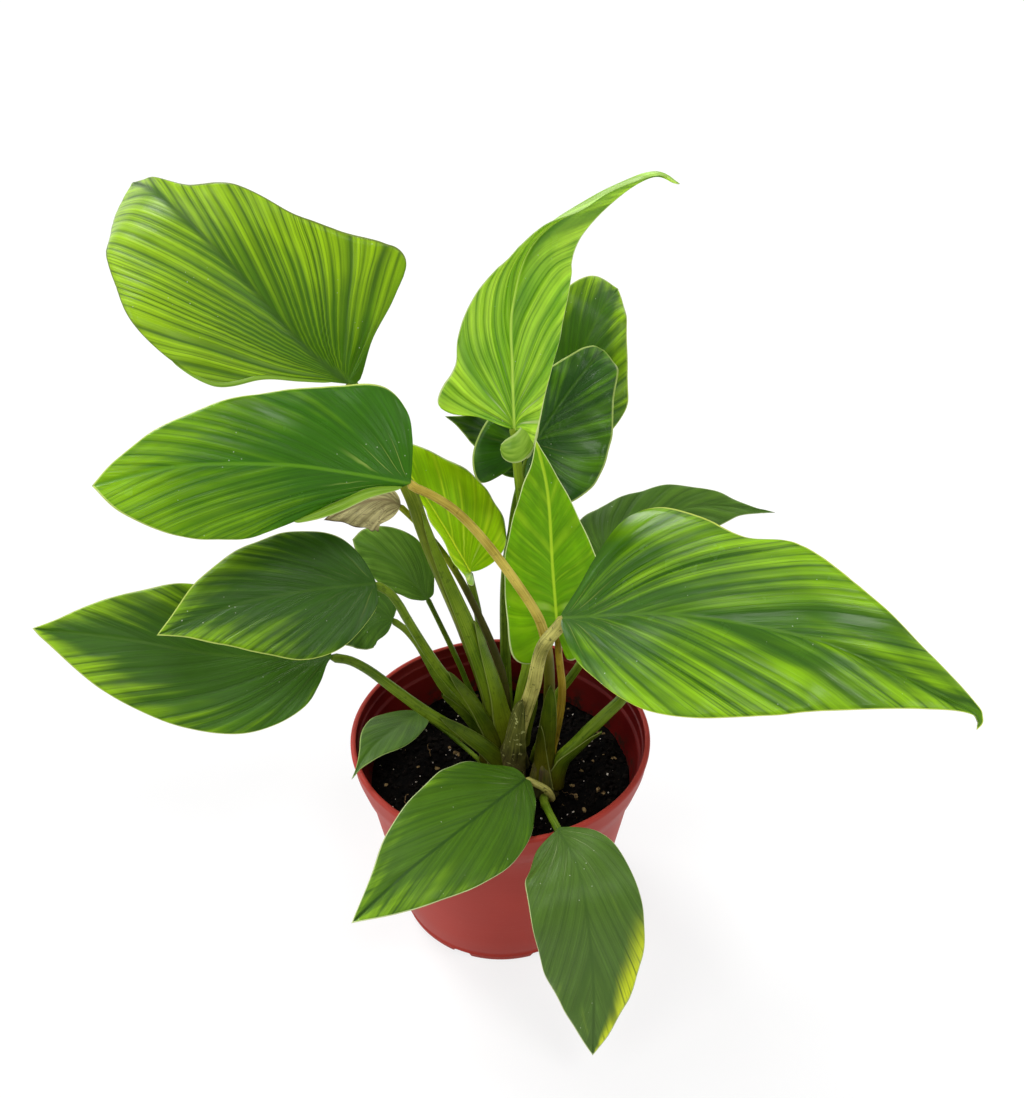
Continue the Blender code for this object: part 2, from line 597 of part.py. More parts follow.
def build_pot():
    band = POT_HEIGHT - RIM_BAND
    ledge = POT_HEIGHT - LEDGE_DROP
    lip = POT_RIM_RADIUS
    inner = lip - 3.0
    profile = [
        (0.0, 0.0),
        (POT_BASE_RADIUS - 2.0, 0.0),
        (POT_BASE_RADIUS, 1.6),
        (outer_radius(band), band),
        (outer_radius(band) + RIM_STEP, band + 1.0),
        (lip - 0.5, POT_HEIGHT - 2.2),
        (lip, POT_HEIGHT - 1.2),
        (lip - 0.9, POT_HEIGHT),
        (inner + 0.7, POT_HEIGHT),
        (inner, POT_HEIGHT - 1.0),
        (inner - 0.4, ledge),
        (inner - 0.4 - LEDGE_STEP, ledge - 1.2),
        (outer_radius(POT_FLOOR) - POT_WALL, POT_FLOOR),
        (0.0, POT_FLOOR),
    ]
    spots, faces = turned(profile, POT_SIDES)
    pot = add_object("pot", spots, faces, "pot")
    cutters = drain_cutters()
    cut = pot.modifiers.new("drain_notches", "BOOLEAN")
    cut.operation = "DIFFERENCE"
    cut.solver = "EXACT"
    cut.object = cutters
    return pot


def drain_cutters():
    """Short boxes through the corner where the wall meets the floor."""
    spots = []
    faces = []
    near, far = POT_BASE_RADIUS - 4.5, POT_BASE_RADIUS + 4.0
    for k in range(DRAIN_COUNT):
        turn = 2 * math.pi * (k + 0.5) / DRAIN_COUNT
        out = np.array([math.cos(turn), math.sin(turn), 0.0])
        side = np.array([-math.sin(turn), math.cos(turn), 0.0])
        first = len(spots)
        for reach in (near, far):
            for shift, height in ((-0.5, -1.0), (0.5, -1.0),
                                  (0.4, DRAIN_HEIGHT), (-0.4, DRAIN_HEIGHT)):
                spots.append(out * reach + side * shift * DRAIN_WIDTH
                             + np.array([0.0, 0.0, height]))
        a, b, c, d, e, f, g, h = range(first, first + 8)
        faces += [[a, b, c, d], [h, g, f, e], [a, e, f, b],
                  [b, f, g, c], [c, g, h, d], [d, h, e, a]]
    cutters = add_object("drain_cutters", np.array(spots), faces, "pot")
    cutters.hide_render = True
    cutters.display_type = "WIRE"
    return cutters


def inner_radius(height):
    """Inside of the pot wall below the ledge."""
    ledge = POT_HEIGHT - LEDGE_DROP - 1.2
    top = POT_RIM_RADIUS - 3.4 - LEDGE_STEP
    foot = outer_radius(POT_FLOOR) - POT_WALL
    return foot + (top - foot) * (height - POT_FLOOR) / (ledge - POT_FLOOR)


def soil_height(radius, turn):
    """Level round the crowns, gently uneven towards the wall."""
    far = min(max((radius - SOIL_FLAT) / (inner_radius(SOIL_TOP) - SOIL_FLAT), 0.0), 1.0)
    wave = (math.sin(3 * turn + 0.6) + 0.6 * math.sin(5 * turn + 2.1)
            + 0.4 * math.sin(9 * turn + 1.0))
    return SOIL_TOP - far * SOIL_RISE * (0.8 - 0.5 * wave)


def build_soil():
    foot = POT_FLOOR + SOIL_GAP
    # the rounded shape keeps the gap at every facet of the wall
    shrink = math.cos(math.pi / SOIL_SIDES)
    spots = [(0.0, 0.0, foot)]
    rings = []
    foot_radius = (inner_radius(foot) - SOIL_GAP) * shrink - 4.0
    ladder = [(foot_radius, foot), (foot_radius, DRAIN_HEIGHT + 1.0)]
    ladder.append(((inner_radius(9.0) - SOIL_GAP) * shrink, 9.0))
    top_radius = (inner_radius(SOIL_TOP) - SOIL_GAP) * shrink
    for radius, height in ladder:
        rings.append(list(range(len(spots), len(spots) + SOIL_SIDES)))
        for k in range(SOIL_SIDES):
            turn = 2 * math.pi * k / SOIL_SIDES
            spots.append((radius * math.cos(turn), radius * math.sin(turn), height))
    for share in (1.0, 0.84, 0.66, 0.48):
        rings.append(list(range(len(spots), len(spots) + SOIL_SIDES)))
        for k in range(SOIL_SIDES):
            turn = 2 * math.pi * k / SOIL_SIDES
            height = soil_height(top_radius * share, turn)
            radius = top_radius * share
            if share == 1.0:
                radius = (inner_radius(height) - SOIL_GAP) * shrink
            spots.append((radius * math.cos(turn), radius * math.sin(turn), height))
    crest = len(spots)
    spots.append((0.0, 0.0, SOIL_TOP))
    faces = []
    for low, high in zip(rings, rings[1:]):
        for k in range(SOIL_SIDES):
            n = (k + 1) % SOIL_SIDES
            faces.append([low[k], low[n], high[n], high[k]])
    for k in range(SOIL_SIDES):
        n = (k + 1) % SOIL_SIDES
        faces.append([0, rings[0][n], rings[0][k]])
        faces.append([crest, rings[-1][k], rings[-1][n]])
    return add_object("soil", np.array(spots), faces, "soil")


# ---- the plant -----------------------------------------------------------
def tree_of(spots, faces):
    return BVHTree.FromPolygons([Vector(p) for p in spots], faces, epsilon=0.0)


def push_from_blade(centre, radius, tree):
    """How far, and which way, a ring centre lies too near a blade."""
    spot, normal, _, gap = tree.find_nearest(Vector(centre))
    short = radius + CLEAR - gap
    away = Vector(centre) - spot
    if gap < 1e-3:
        away = normal
    return short, np.array(away.normalized())


def push_from_tube(centre, radius, other):
    """How far, and which way, a ring centre lies too near another tube."""
    centres, radii = other[:2]
    start, end = centres[:-1], centres[1:]
    span = end - start
    share = np.sum((centre - start) * span, 1) / np.maximum(np.sum(span * span, 1), 1e-9)
    share = np.clip(share, 0, 1).reshape(-1, 1)
    nearest = start + span * share
    away = centre - nearest
    reach = np.linalg.norm(away, axis=1)
    thick = radii[:-1] + (radii[1:] - radii[:-1]) * share.ravel()
    short = radius + CLEAR + thick - reach
    k = int(np.argmax(short))
    return short[k], away[k] / max(reach[k], 1e-6)


def shortfalls(centre, radius, blades, tubes):
    found = [push_from_blade(centre, radius, tree) for tree in blades]
    found += [push_from_tube(centre, radius, other) for other in tubes]
    found.append((radius + CLEAR + SOIL_TOP - centre[2], np.array((0.0, 0.0, 1.0))))
    return [(short, away) for short, away in found if short > 0.03]


def step_aside(centres, radii, blades, tubes):
    """Move the rings of a tube, and the spans between them, clear of the pieces placed."""
    centres = centres.copy()
    last = len(centres) - 1
    for turn in range(40):
        moved = False
        for half in range(2 * last + 1):
            k, n = half // 2, (half + 1) // 2
            centre = (centres[k] + centres[n]) / 2
            radius = (radii[k] + radii[n]) / 2
            for short, away in shortfalls(centre, radius, blades, tubes):
                centres[k] = centres[k] + away * min(short, 1.0)
                if n != k:
                    centres[n] = centres[n] + away * min(short, 1.0)
                moved = True
        if not moved:
            break
        if turn < 25:
            middle = centres[1:-1] * 0.9 + (centres[:-2] + centres[2:]) * 0.05
            centres[1:-1] = middle
    return centres


def seat_on(centre, trees):
    """Where a stalk that ends at this centre narrows down onto the nearest piece."""
    spots = [tree.find_nearest(Vector(centre)) for tree in trees]
    spot = np.array(min(spots, key=lambda found: found[3])[0])
    back = centre - spot
    return spot + back / np.linalg.norm(back) * (TIP_RADIUS + SEAT)


def build_stalk(spec, leaf, own, blades, tubes):
    """A tapered stalk seated under the foot of its leaf and against the other pieces."""
    foot_radius, top_radius = spec["radius"]
    curve = smooth_curve(spec["path"], 200)
    run = lengths_along(curve)
    count = max(int(round(run[-1] / STALK_STEP)), 4) + 1
    where = np.linspace(0, run[-1] - top_radius, count)
    centres = at_length(curve, run, where)
    # the top of the stalk tucks under the blade
    under = -unit(np.array(leaf["face"], float))
    tuck = np.clip(1 - (run[-1] - where) / 22.0, 0, 1) ** 1.5
    centres = centres + under * ((top_radius + CLEAR + BLADE / 2) * tuck).reshape(-1, 1)
    radii = foot_radius + (top_radius - foot_radius) * (where / run[-1]) ** 0.7
    # the foot starts where it comes free of the crown and the stalks round it
    first = 0
    for k in range(count - 3):
        worst = [short for short, _ in shortfalls(centres[k], radii[k], blades, tubes)]
        if worst and max(worst) > radii[k] * 0.8:
            first = k + 1
        elif where[k] > 45.0:
            break
    centres = step_aside(centres[first:], radii[first:], blades, tubes)
    foot = seat_on(centres[0], [other[2] for other in tubes])
    top = seat_on(centres[-1], [own])
    centres = np.vstack([foot, centres, top])
    radii = np.concatenate([[TIP_RADIUS], radii[first:], [TIP_RADIUS]])
    return centres, radii


def build_crown(name, spec):
    """A tapered stump with a round top, standing on the soil."""
    centres = smooth_curve(spec["path"], 6)
    foot_radius, top_radius = spec["radius"]
    radii = foot_radius + (top_radius - foot_radius) * np.linspace(0, 1, 6) ** 0.8
    ahead = unit(centres[-1] - centres[-2])
    rings, sizes = list(centres), list(radii)
    for lean in (25.0, 50.0, 75.0):
        rings.append(centres[-1] + ahead * top_radius * math.sin(math.radians(lean)))
        sizes.append(top_radius * math.cos(math.radians(lean)))
    spots, faces = tube(np.array(rings), sizes, CROWN_SIDES)
    spots[:CROWN_SIDES, 2] = spec["path"][0][2]
    add_object(name, spots, faces, "crown")
    return centres, radii, tree_of(spots, faces)


def build_blade(name, leaf):
    cells = CELLS_LARGE if name in LARGE else CELLS_SMALL
    spots, faces = sheet_of(blade_halves(leaf, cells))
    spots, faces = thicken(spots, faces, BLADE)
    finish = "leaf_bright" if name in BRIGHT else "leaf_dark"
    if name == "leaf_withered":
        finish = "leaf_withered"
    add_object(name, spots, faces, finish)
    return tree_of(spots, faces)


def build_plant():
    tubes = [build_crown(name, spec) for name, spec in CROWNS.items()]
    blades = {name: build_blade(name, leaf) for name, leaf in LEAVES.items()}
    for name, spec in STALKS.items():
        centres, radii = build_stalk(spec, LEAVES[name], blades[name],
                                     blades.values(), tubes)
        spots, faces = tube(centres, radii, STALK_SIDES)
        tubes.append((centres, radii, tree_of(spots, faces)))
        finish = "stalk_tan" if name in TAN else "stalk_green"
        add_object(name.replace("leaf", "stalk", 1), spots, faces, finish)


def main():
    for old in list(bpy.data.objects):
        bpy.data.objects.remove(old, do_unlink=True)
    build_pot()
    build_soil()
    build_plant()


main()
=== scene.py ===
"""Looks of the potted homalomena: fine blades, stalks, sheaths, soil and pot,
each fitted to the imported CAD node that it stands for.

Lengths are millimetres and angles degrees, unless a name says otherwise; MM
turns them into metres. Colours are linear, in thousandths. The front of the
plant looks along -Y.
"""
import math
import random

import bmesh
import bpy
import numpy as np
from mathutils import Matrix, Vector, noise


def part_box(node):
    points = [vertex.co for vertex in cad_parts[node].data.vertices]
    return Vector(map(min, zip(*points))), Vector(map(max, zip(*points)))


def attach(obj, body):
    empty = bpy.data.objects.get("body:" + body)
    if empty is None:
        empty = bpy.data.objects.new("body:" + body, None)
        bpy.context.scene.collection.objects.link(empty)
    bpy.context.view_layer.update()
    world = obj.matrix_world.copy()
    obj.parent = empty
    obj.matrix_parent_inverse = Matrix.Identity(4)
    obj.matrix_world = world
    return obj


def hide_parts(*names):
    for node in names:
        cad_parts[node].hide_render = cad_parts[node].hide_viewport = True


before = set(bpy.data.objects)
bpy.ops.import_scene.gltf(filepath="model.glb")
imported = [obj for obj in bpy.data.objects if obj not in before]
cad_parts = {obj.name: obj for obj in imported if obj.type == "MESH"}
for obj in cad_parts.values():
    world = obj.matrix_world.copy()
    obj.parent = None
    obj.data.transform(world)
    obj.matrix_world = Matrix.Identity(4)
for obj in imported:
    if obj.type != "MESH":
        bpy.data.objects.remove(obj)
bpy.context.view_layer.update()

MM = 0.001
BODY = "root"


def box_mm(node):
    """The two far corners of a CAD node."""
    return (np.array(corner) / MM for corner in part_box(node))


# ---- camera and room -----------------------------------------------------
LENS = 40.98  # on a 36 mm sensor
CAMERA_PLACE = (0.006, -0.486, 0.555)
CAMERA_TILT = 33.9  # below the horizon
ROOM_LIGHT = 0.38  # how strongly the white room lights the plant
FLOOR_GLOW = 0.75  # how far the seen floor is lifted to plain white
FLOOR_REACH = 6.0  # metres from the pot to the floor's sides

# ---- sizes of blades -----------------------------------------------------
BLADE_HALF = 0.22  # half the thickness of a blade
MIDRIB_DEEP = 1.1  # how far the midrib stands out below
MIDRIB_WIDE = 1.3
GROOVE_DEEP = 0.35  # how deep the midrib lies in the upper side
GROOVE_WIDE = 0.9
STEEP = 0.16  # most a swelling may rise beside its width
FOLD_VEINS = 2.7  # side veins to one broad fold
ROW_TURN = 0.8  # how strongly the mesh rows bow
ROW_RISE = 3.0  # how far towards the foot the mesh rows gather
VEIN_GATHER = 4.0  # how far towards the foot the side veins gather
VEIN_SPREAD = 2.2  # how soon they turn towards the tip
VEIN_BOW = 0.90  # how strongly they bend to the tip near the margin
VEIN_HUG = 0.07  # share of the blade they run beside the midrib
FIRST_VEIN = 0.06  # radians from the lobe's widest reach to the first one
LAST_VEIN = 14.0  # angle at which the last ones leave the midrib
# Waves that spread the veins unevenly: size, rate along the blade, shift per leaf.
UNEVEN_VEINS = ((0.022, 1.7, 0.31), (0.013, 4.3, 0.57), (0.006, 9.1, 0.83))
CORNER_SLACK = 0.06  # radians by which a lobe's corner may turn back
CELLS_LARGE = (240, 18)  # cells along and across each half of a blade
CELLS_SMALL = (90, 12)
MARGIN_POINTS = 320
MIDRIB_POINTS = 240
VEIN_STEPS = 240
STRIP_CELLS = (48, 12)
HEM_POINTS = 25

# ---- sizes of stalks and sheaths -----------------------------------------
STALK_SIDES = 22
STALK_STEP = 2.5  # distance between the rings of a stalk
SOLID_STEP = 9  # distance between the slices that the CAD stalk is read in
PATH_POINTS = 200
COURSE_POINTS = 160
ROOTED = 13.0  # how far a stalk runs on below its CAD foot
SHEATH_CELLS = (39, 18)
SHEATH_THICK = 0.45

# ---- sizes of pot and soil -----------------------------------------------
POT_SIDES = 192
BASE_RADIUS = 54.7
FLOOR_RADIUS = 20.0  # of the flat middle of the pot's floor
RIM_BAND = 20.0
RIM_STEP = 2.2
RIM_THICK = 3.0
LEDGE_DROP = 12.0
LEDGE_STEP = 1.6
POT_WALL = 1.8
POT_FLOOR = 2.4
BASE_ROWS = (2, 3, 4)  # points of the pot's section that its drains lift
DRAIN_COUNT = 8
DRAIN_WIDTH = 9.0
DRAIN_HEIGHT = 3.4
SOIL_CELLS = (90, 300)
SOIL_DEEP = 10.8  # how far the soil's mesh reaches down from its top
ROOTLET_PLACES = ((-26, -14), (-38, 10), (40, -22), (8, -46), (30, 34), (-6, 52), (-48, -18))
ROOTLET_RINGS = 40
ROOTLET_SIDES = 6
CROWN_CELLS = (26, 72)


def heart_edge(half_width, length, lobe, point, wide):
    """Margin of one half of a plain heart-shaped blade, between its foot and its tip."""
    edge = [(0.17 * half_width, (0.012 - 0.7 * lobe) * length),
            (0.45 * half_width, (0.035 - lobe) * length),
            (0.74 * half_width, (0.10 - 0.65 * lobe) * length),
            (0.93 * half_width, 0.56 * wide * length)]
    for turn in (0.0, 0.2, 0.4, 0.6, 0.8):
        out = math.cos(math.pi / 2 * turn) ** point
        edge.append((out * half_width, (wide + (1 - wide) * turn) * length))
    return edge


# A leaf is a midrib in space, the direction its upper side faces at the foot
# ("face_tip" at the tip, if another), and the margin as (out from the midrib,
# along it) between foot and tip. "fold" and "curl" say how far each half folds
# up and curls at the foot and at the tip, over a width of "half". Where the
# left half differs, it has values of its own. A leaf with "hold" has lost part
# of a half, so it stays where its midrib is. "wave" is the number and height of
# the margin's waves, "ribs" the number of side veins, and "ridge" the most that
# the blade may swell between them. "turn" and "rise" shape the mesh rows, and
# "gather", "spread" and "bow" the side veins, where the values above don't do.
# "span" is how much of the midrib each of its directions is taken over, "look"
# the colours and "tone" what they are multiplied by. "hem" is the part of the
# left margin that is folded over.
LEAVES = {
    "top_left": dict(
        midrib=[(-67, 20, 304), (-87, 28, 319), (-109, 40, 341), (-132, 55, 360), (-157, 80, 371),
                (-177, 115, 365)], face=(-0.3, -0.9, 0.3), face_tip=(-0.3, -0.7, 0.6),
        margin=[(5, -3), (23, 3), (45, 6), (61, 12), (60, 33), (48, 51), (39, 66), (28, 93), (12, 115),
                (4, 146)],
        margin_left=[(5, 7), (12, 17), (22, 28), (41, 39), (49, 64), (48, 92), (34, 129), (16, 162)],
        fold=(0, 20), fold_left=(45, 10), curl=(-5, -15), curl_left=(-10, -25), half=54, turn=0.9,
        rise=1.6, bow=0.9, look="lime", ribs=19, ridge=0.55,
        hem=dict(low=0.03, high=0.34, width=2.2, lean=(0.1, -0.8, -0.6), bulge=(0, -0.4, 0.3))),
    "upper_left": dict(
        midrib=[(-37, -30, 282), (-62, -38, 292), (-88, -45, 300), (-126, -55, 305), (-161, -60, 299)],
        face=(0.1, -0.6, 0.75),
        margin=[(6, 1), (19, 3), (31, 7), (39, 17), (36, 36), (32, 50), (27, 74), (19, 96), (8, 120)],
        margin_left=[(2, 2), (3, 9), (6, 18), (13, 27), (22, 38), (29, 51), (32, 68), (31, 84),
                     (26, 105), (14, 122)], fold=(30, 10), fold_left=(-55, 5), curl=(-30, -15),
        curl_left=(-70, -5), half=40, hold=1, look="green", tone=(1.1, 1.2, 0.6), ribs=14, ridge=0.55,
        hem=dict(low=0.01, high=0.36, width=5, lean=(0.1, -0.7, -0.7), bulge=(0, -0.6, 0.8))),
    "top_centre": dict(
        midrib=[(7, 30, 275), (6, 30, 305), (6, 32, 335), (15, 35, 363), (39, 35, 382), (63, 30, 394),
                (74, 20, 393)], face=(-0.1, -1, 0.1), face_tip=(0.5, -0.8, -0.1),
        margin=[(3, -9), (7, -14), (11, -5), (15, 16), (19, 33), (23, 52), (22, 85), (12, 110),
                (6, 128), (2, 147)],
        margin_left=[(3, 1), (18, 11), (31, 16), (37, 24), (30, 40), (31, 54), (27, 74), (19, 92),
                     (12, 112), (4, 140)], fold=(25, 10), fold_left=(30, 75), curl=(-25, 0),
        curl_left=(-20, 0), half=36, gather=5, spread=3, look="fresh", tone=(1.5, 1.4, 1.2), ribs=15,
        ridge=0.8),
    "large_right": dict(
        midrib=[(29, -40, 217), (74, -60, 234), (120, -78, 238), (149, -88, 233), (190, -98, 216),
                (197, -101, 211), (197, -102, 206)], face=(0, -0.6, 0.8),
        margin=[(5, 1), (20, 10), (29, 20), (38, 34), (44, 51), (44, 74), (38, 99), (33, 115),
                (18, 146), (3, 178)],
        margin_left=[(1, -1), (14, 8), (29, 16), (46, 26), (53, 40), (46, 58), (39, 76), (39, 98),
                     (26, 127), (14, 157)], fold=(20, 10), fold_left=(15, 10), curl=(-40, -15), half=49,
        look="striped", tone=(1.15, 1.18, 0.5), ribs=15, ridge=0.9),
    "back_right": dict(
        midrib=[(50, 30, 202), (71, 50, 207), (104, 70, 208), (147, 80, 198)], face=(0, -0.3, 0.95),
        margin=heart_edge(26, 113, 0.08, 1.6, 0.33),
        margin_left=[(9, -5), (20, 2), (24, 15), (22, 32), (19, 52), (13, 70), (6, 88), (1.5, 101),
                     (0.8, 108)], fold=(10, 10), curl=(-30, -15), half=32, look="matt",
        tone=(0.95, 1, 0.8), ribs=12, ridge=0.7),
    "behind_right": dict(
        midrib=[(72, 15, 145), (93, 30, 161), (113, 50, 176), (138, 60, 187)], face=(0, -0.5, 0.8),
        margin=heart_edge(25, 87, 0.04, 1.4, 0.33), fold=(10, 10), curl=(-30, -15), half=28, look="dark",
        ribs=8, ridge=0.5),
    "centre": dict(
        midrib=[(29, 10, 170), (26, 18, 204), (23, 23, 245), (17, 21, 275)], face=(0.05, -0.9, 0.2),
        margin=[(4, -14), (12, -10), (19, 8), (23, 28), (22, 40), (13, 65), (6, 84)],
        margin_left=[(6, -9), (16, -14), (24, -8), (25, 12), (24, 38), (21, 55), (13, 80), (5, 95)],
        fold=(8, 5), curl=(0, 0), half=25, gather=1.8, spread=1.7, bow=0.6, look="pale",
        tone=(1.05, 1.18, 0.5), ribs=6, ridge=0.15),
    "back_high": dict(
        midrib=[(23, 72, 247), (37, 100, 270), (51, 116, 296), (62, 140, 300)], face=(0.1, -0.8, 0.6),
        margin=[(7, -6), (17, -4), (25, 8), (31, 22), (33, 34), (29, 45), (18, 68), (9, 87)],
        margin_left=[(8, -8), (18, -4), (23, 15), (24, 42), (22, 72), (12, 94)], fold=(5, 10),
        curl=(-20, -15), half=40, rise=2.4, look="dark_lime", tone=(1.5, 1.5, 0.5), ribs=13, ridge=0.5),
    "back_inner": dict(
        midrib=[(16, 47, 257), (30, 63, 272), (45, 78, 286), (53, 95, 286)], face=(0, -0.8, 0.6),
        margin=[(5, -14), (16, -24), (29, -16), (35, -4), (36, 6), (33, 19), (29, 30), (20, 44),
                (12, 58)],
        margin_left=[(4, -18), (12, -30), (22, -22), (26, -6), (24, 12), (18, 30), (11, 48), (5, 64)],
        fold=(15, 20), fold_left=(30, 20), curl=(-30, -15), half=38, turn=0.7, rise=1.8, look="dark",
        tone=(1, 1.2, 0.3), ribs=11, ridge=0.5),
    "back_left": dict(
        midrib=[(15, 70, 231), (0, 75, 246), (-13, 80, 250), (-28, 80, 256)], face=(0, -0.8, 0.6),
        margin=heart_edge(13, 52, 0.05, 1.3, 0.33), margin_left=heart_edge(14, 52, 0.05, 1.3, 0.33),
        fold=(5, 5), curl=(-30, -15), half=14, look="dark", ribs=8, ridge=0.3),
    "folded_centre": dict(
        midrib=[(-15, 30, 194), (-26, 35, 214), (-40, 45, 234), (-56, 50, 259)], face=(0.5, -0.8, 0.3),
        margin=[(6, -2), (15, -2), (24, 2), (29, 11), (30, 26), (28, 41), (20, 54), (10, 70)],
        margin_left=[(10, -3), (22, 2), (27, 14), (27, 30), (22, 48), (12, 66)], fold=(10, 5),
        fold_left=(70, 70), curl=(-20, -15), half=40, look="pale", tone=(2.6, 2.15, 1.2), ribs=7,
        ridge=0.3),
    "withered": dict(
        midrib=[(-47, 20, 240), (-54, 16, 246), (-65, 12, 246), (-83, 10, 238)], face=(0, -0.6, 0.8),
        margin=heart_edge(17, 40, 0, 1.2, 0.4), fold=(-20, -30), curl=(-50, -50), half=17,
        look="withered", tone=(1.25, 1.25, 1.1), ribs=7, ridge=0.7),
    "inner_left": dict(
        midrib=[(-37, 30, 177), (-48, 30, 195), (-60, 32, 205), (-74, 36, 210)], face=(0.1, -0.9, 0.4),
        margin=[(5, 2), (11, 12), (15, 22), (16, 30), (13, 40), (7, 49)],
        margin_left=[(4, 3), (10, 12), (13, 24), (12, 36), (6, 47)], fold=(5, 5), curl=(-10, -15),
        half=21, rise=2.2, look="matt", tone=(2.5, 2.35, 3.2), ribs=8, ridge=0.12),
    "middle_left": dict(
        midrib=[(-55, -30, 230), (-85, -40, 233), (-116, -50, 232), (-147, -60, 224)],
        face=(0, -0.65, 0.75),
        margin=[(1, 0), (11, 4), (19, 9), (24, 16), (28, 31), (25, 52), (16, 73), (5, 90)],
        margin_left=[(3, 0), (12, 2), (25, 15), (30, 27), (30, 41), (23, 59), (15, 74), (6, 87)],
        fold=(10, 10), curl=(-25, -15), half=34, look="dark_lime", tone=(1, 1.08, 0.5), ribs=13, ridge=0.5),
    "low_left": dict(
        midrib=[(-80, -20, 180), (-132, -20, 181), (-179, -20, 191), (-219, -20, 197)],
        face=(0, -0.65, 0.75),
        margin=[(5, 1), (14, 4), (26, 15), (34, 40), (32, 75), (24, 96), (13, 118), (5, 131)],
        margin_left=[(4, 2), (13, 5), (24, 12), (33, 27), (37, 44), (35, 70), (25, 104), (6, 133)],
        fold=(5, 10), curl=(-25, -15), half=39, look="dark_lime", tone=(1.5, 1.5, 1), ribs=13, ridge=0.55),
    "small_hidden": dict(
        midrib=[(-52, 0, 187), (-60, 0, 190), (-73, 0, 187), (-91, 0, 175)], face=(0, -0.65, 0.75),
        margin=heart_edge(17, 43, 0.02, 1.2, 0.33), fold=(10, 10), curl=(-25, -15), half=18, rise=2.2,
        look="matt", tone=(1.1, 1.2, 1), ribs=8, ridge=0.15),
    "rim_left": dict(
        midrib=[(-44, 25, 105), (-54, -1, 118), (-65, -25, 125), (-73, -43, 122)], face=(-0.2, -0.5, 0.8),
        margin=[(2, 1), (8, 7), (12.5, 17), (14, 33), (11, 49), (4, 63), (1.2, 71)],
        margin_left=[(2, 2), (8, 9), (12.5, 21), (14, 37), (12, 53), (5, 66), (1.5, 72)], fold=(10, 10),
        curl=(-10, -15), half=14, rise=2.2, wave=(2, 0.3), look="matt", ribs=8, ridge=0.12),
    "front_left": dict(
        midrib=[(13, -32, 112), (-9, -74, 130), (-39, -107, 130), (-65, -120, 110)],
        face=(-0.1, -0.6, 0.75),
        margin=[(6, 1), (14, 8), (25, 26), (28, 46), (25, 74), (19, 94), (10, 110)],
        margin_left=[(4, 2), (12, 14), (22, 36), (27, 57), (25, 76), (19, 95), (11, 112)], fold=(8, 5),
        curl=(-15, -15), half=30, rise=2.4, bow=0.7, look="soft", tone=(1.15, 1.2, 1), ribs=11, ridge=0.5),
    "front_right": dict(
        midrib=[(27, -78, 125), (35, -101, 127), (39, -119, 115), (43, -125, 75), (44, -131, 30)],
        face=(0, -0.8, 0.6), margin=[(2, 1), (15, 6), (23, 18), (25, 38), (22, 78), (15, 100), (8, 117)],
        margin_left=[(2, 1), (15, 16), (21, 28), (25, 49), (23, 74), (17, 95), (8, 118)], fold=(8, 5),
        curl=(-15, -15), half=24, rise=2.4, bow=0.7, span=12, look="stained", tone=(1.25, 1.2, 1.2),
        ribs=11, ridge=0.5),
}

# The biggest blades get the finer grid.
LARGE = ("top_left", "upper_left", "top_centre", "large_right", "low_left")

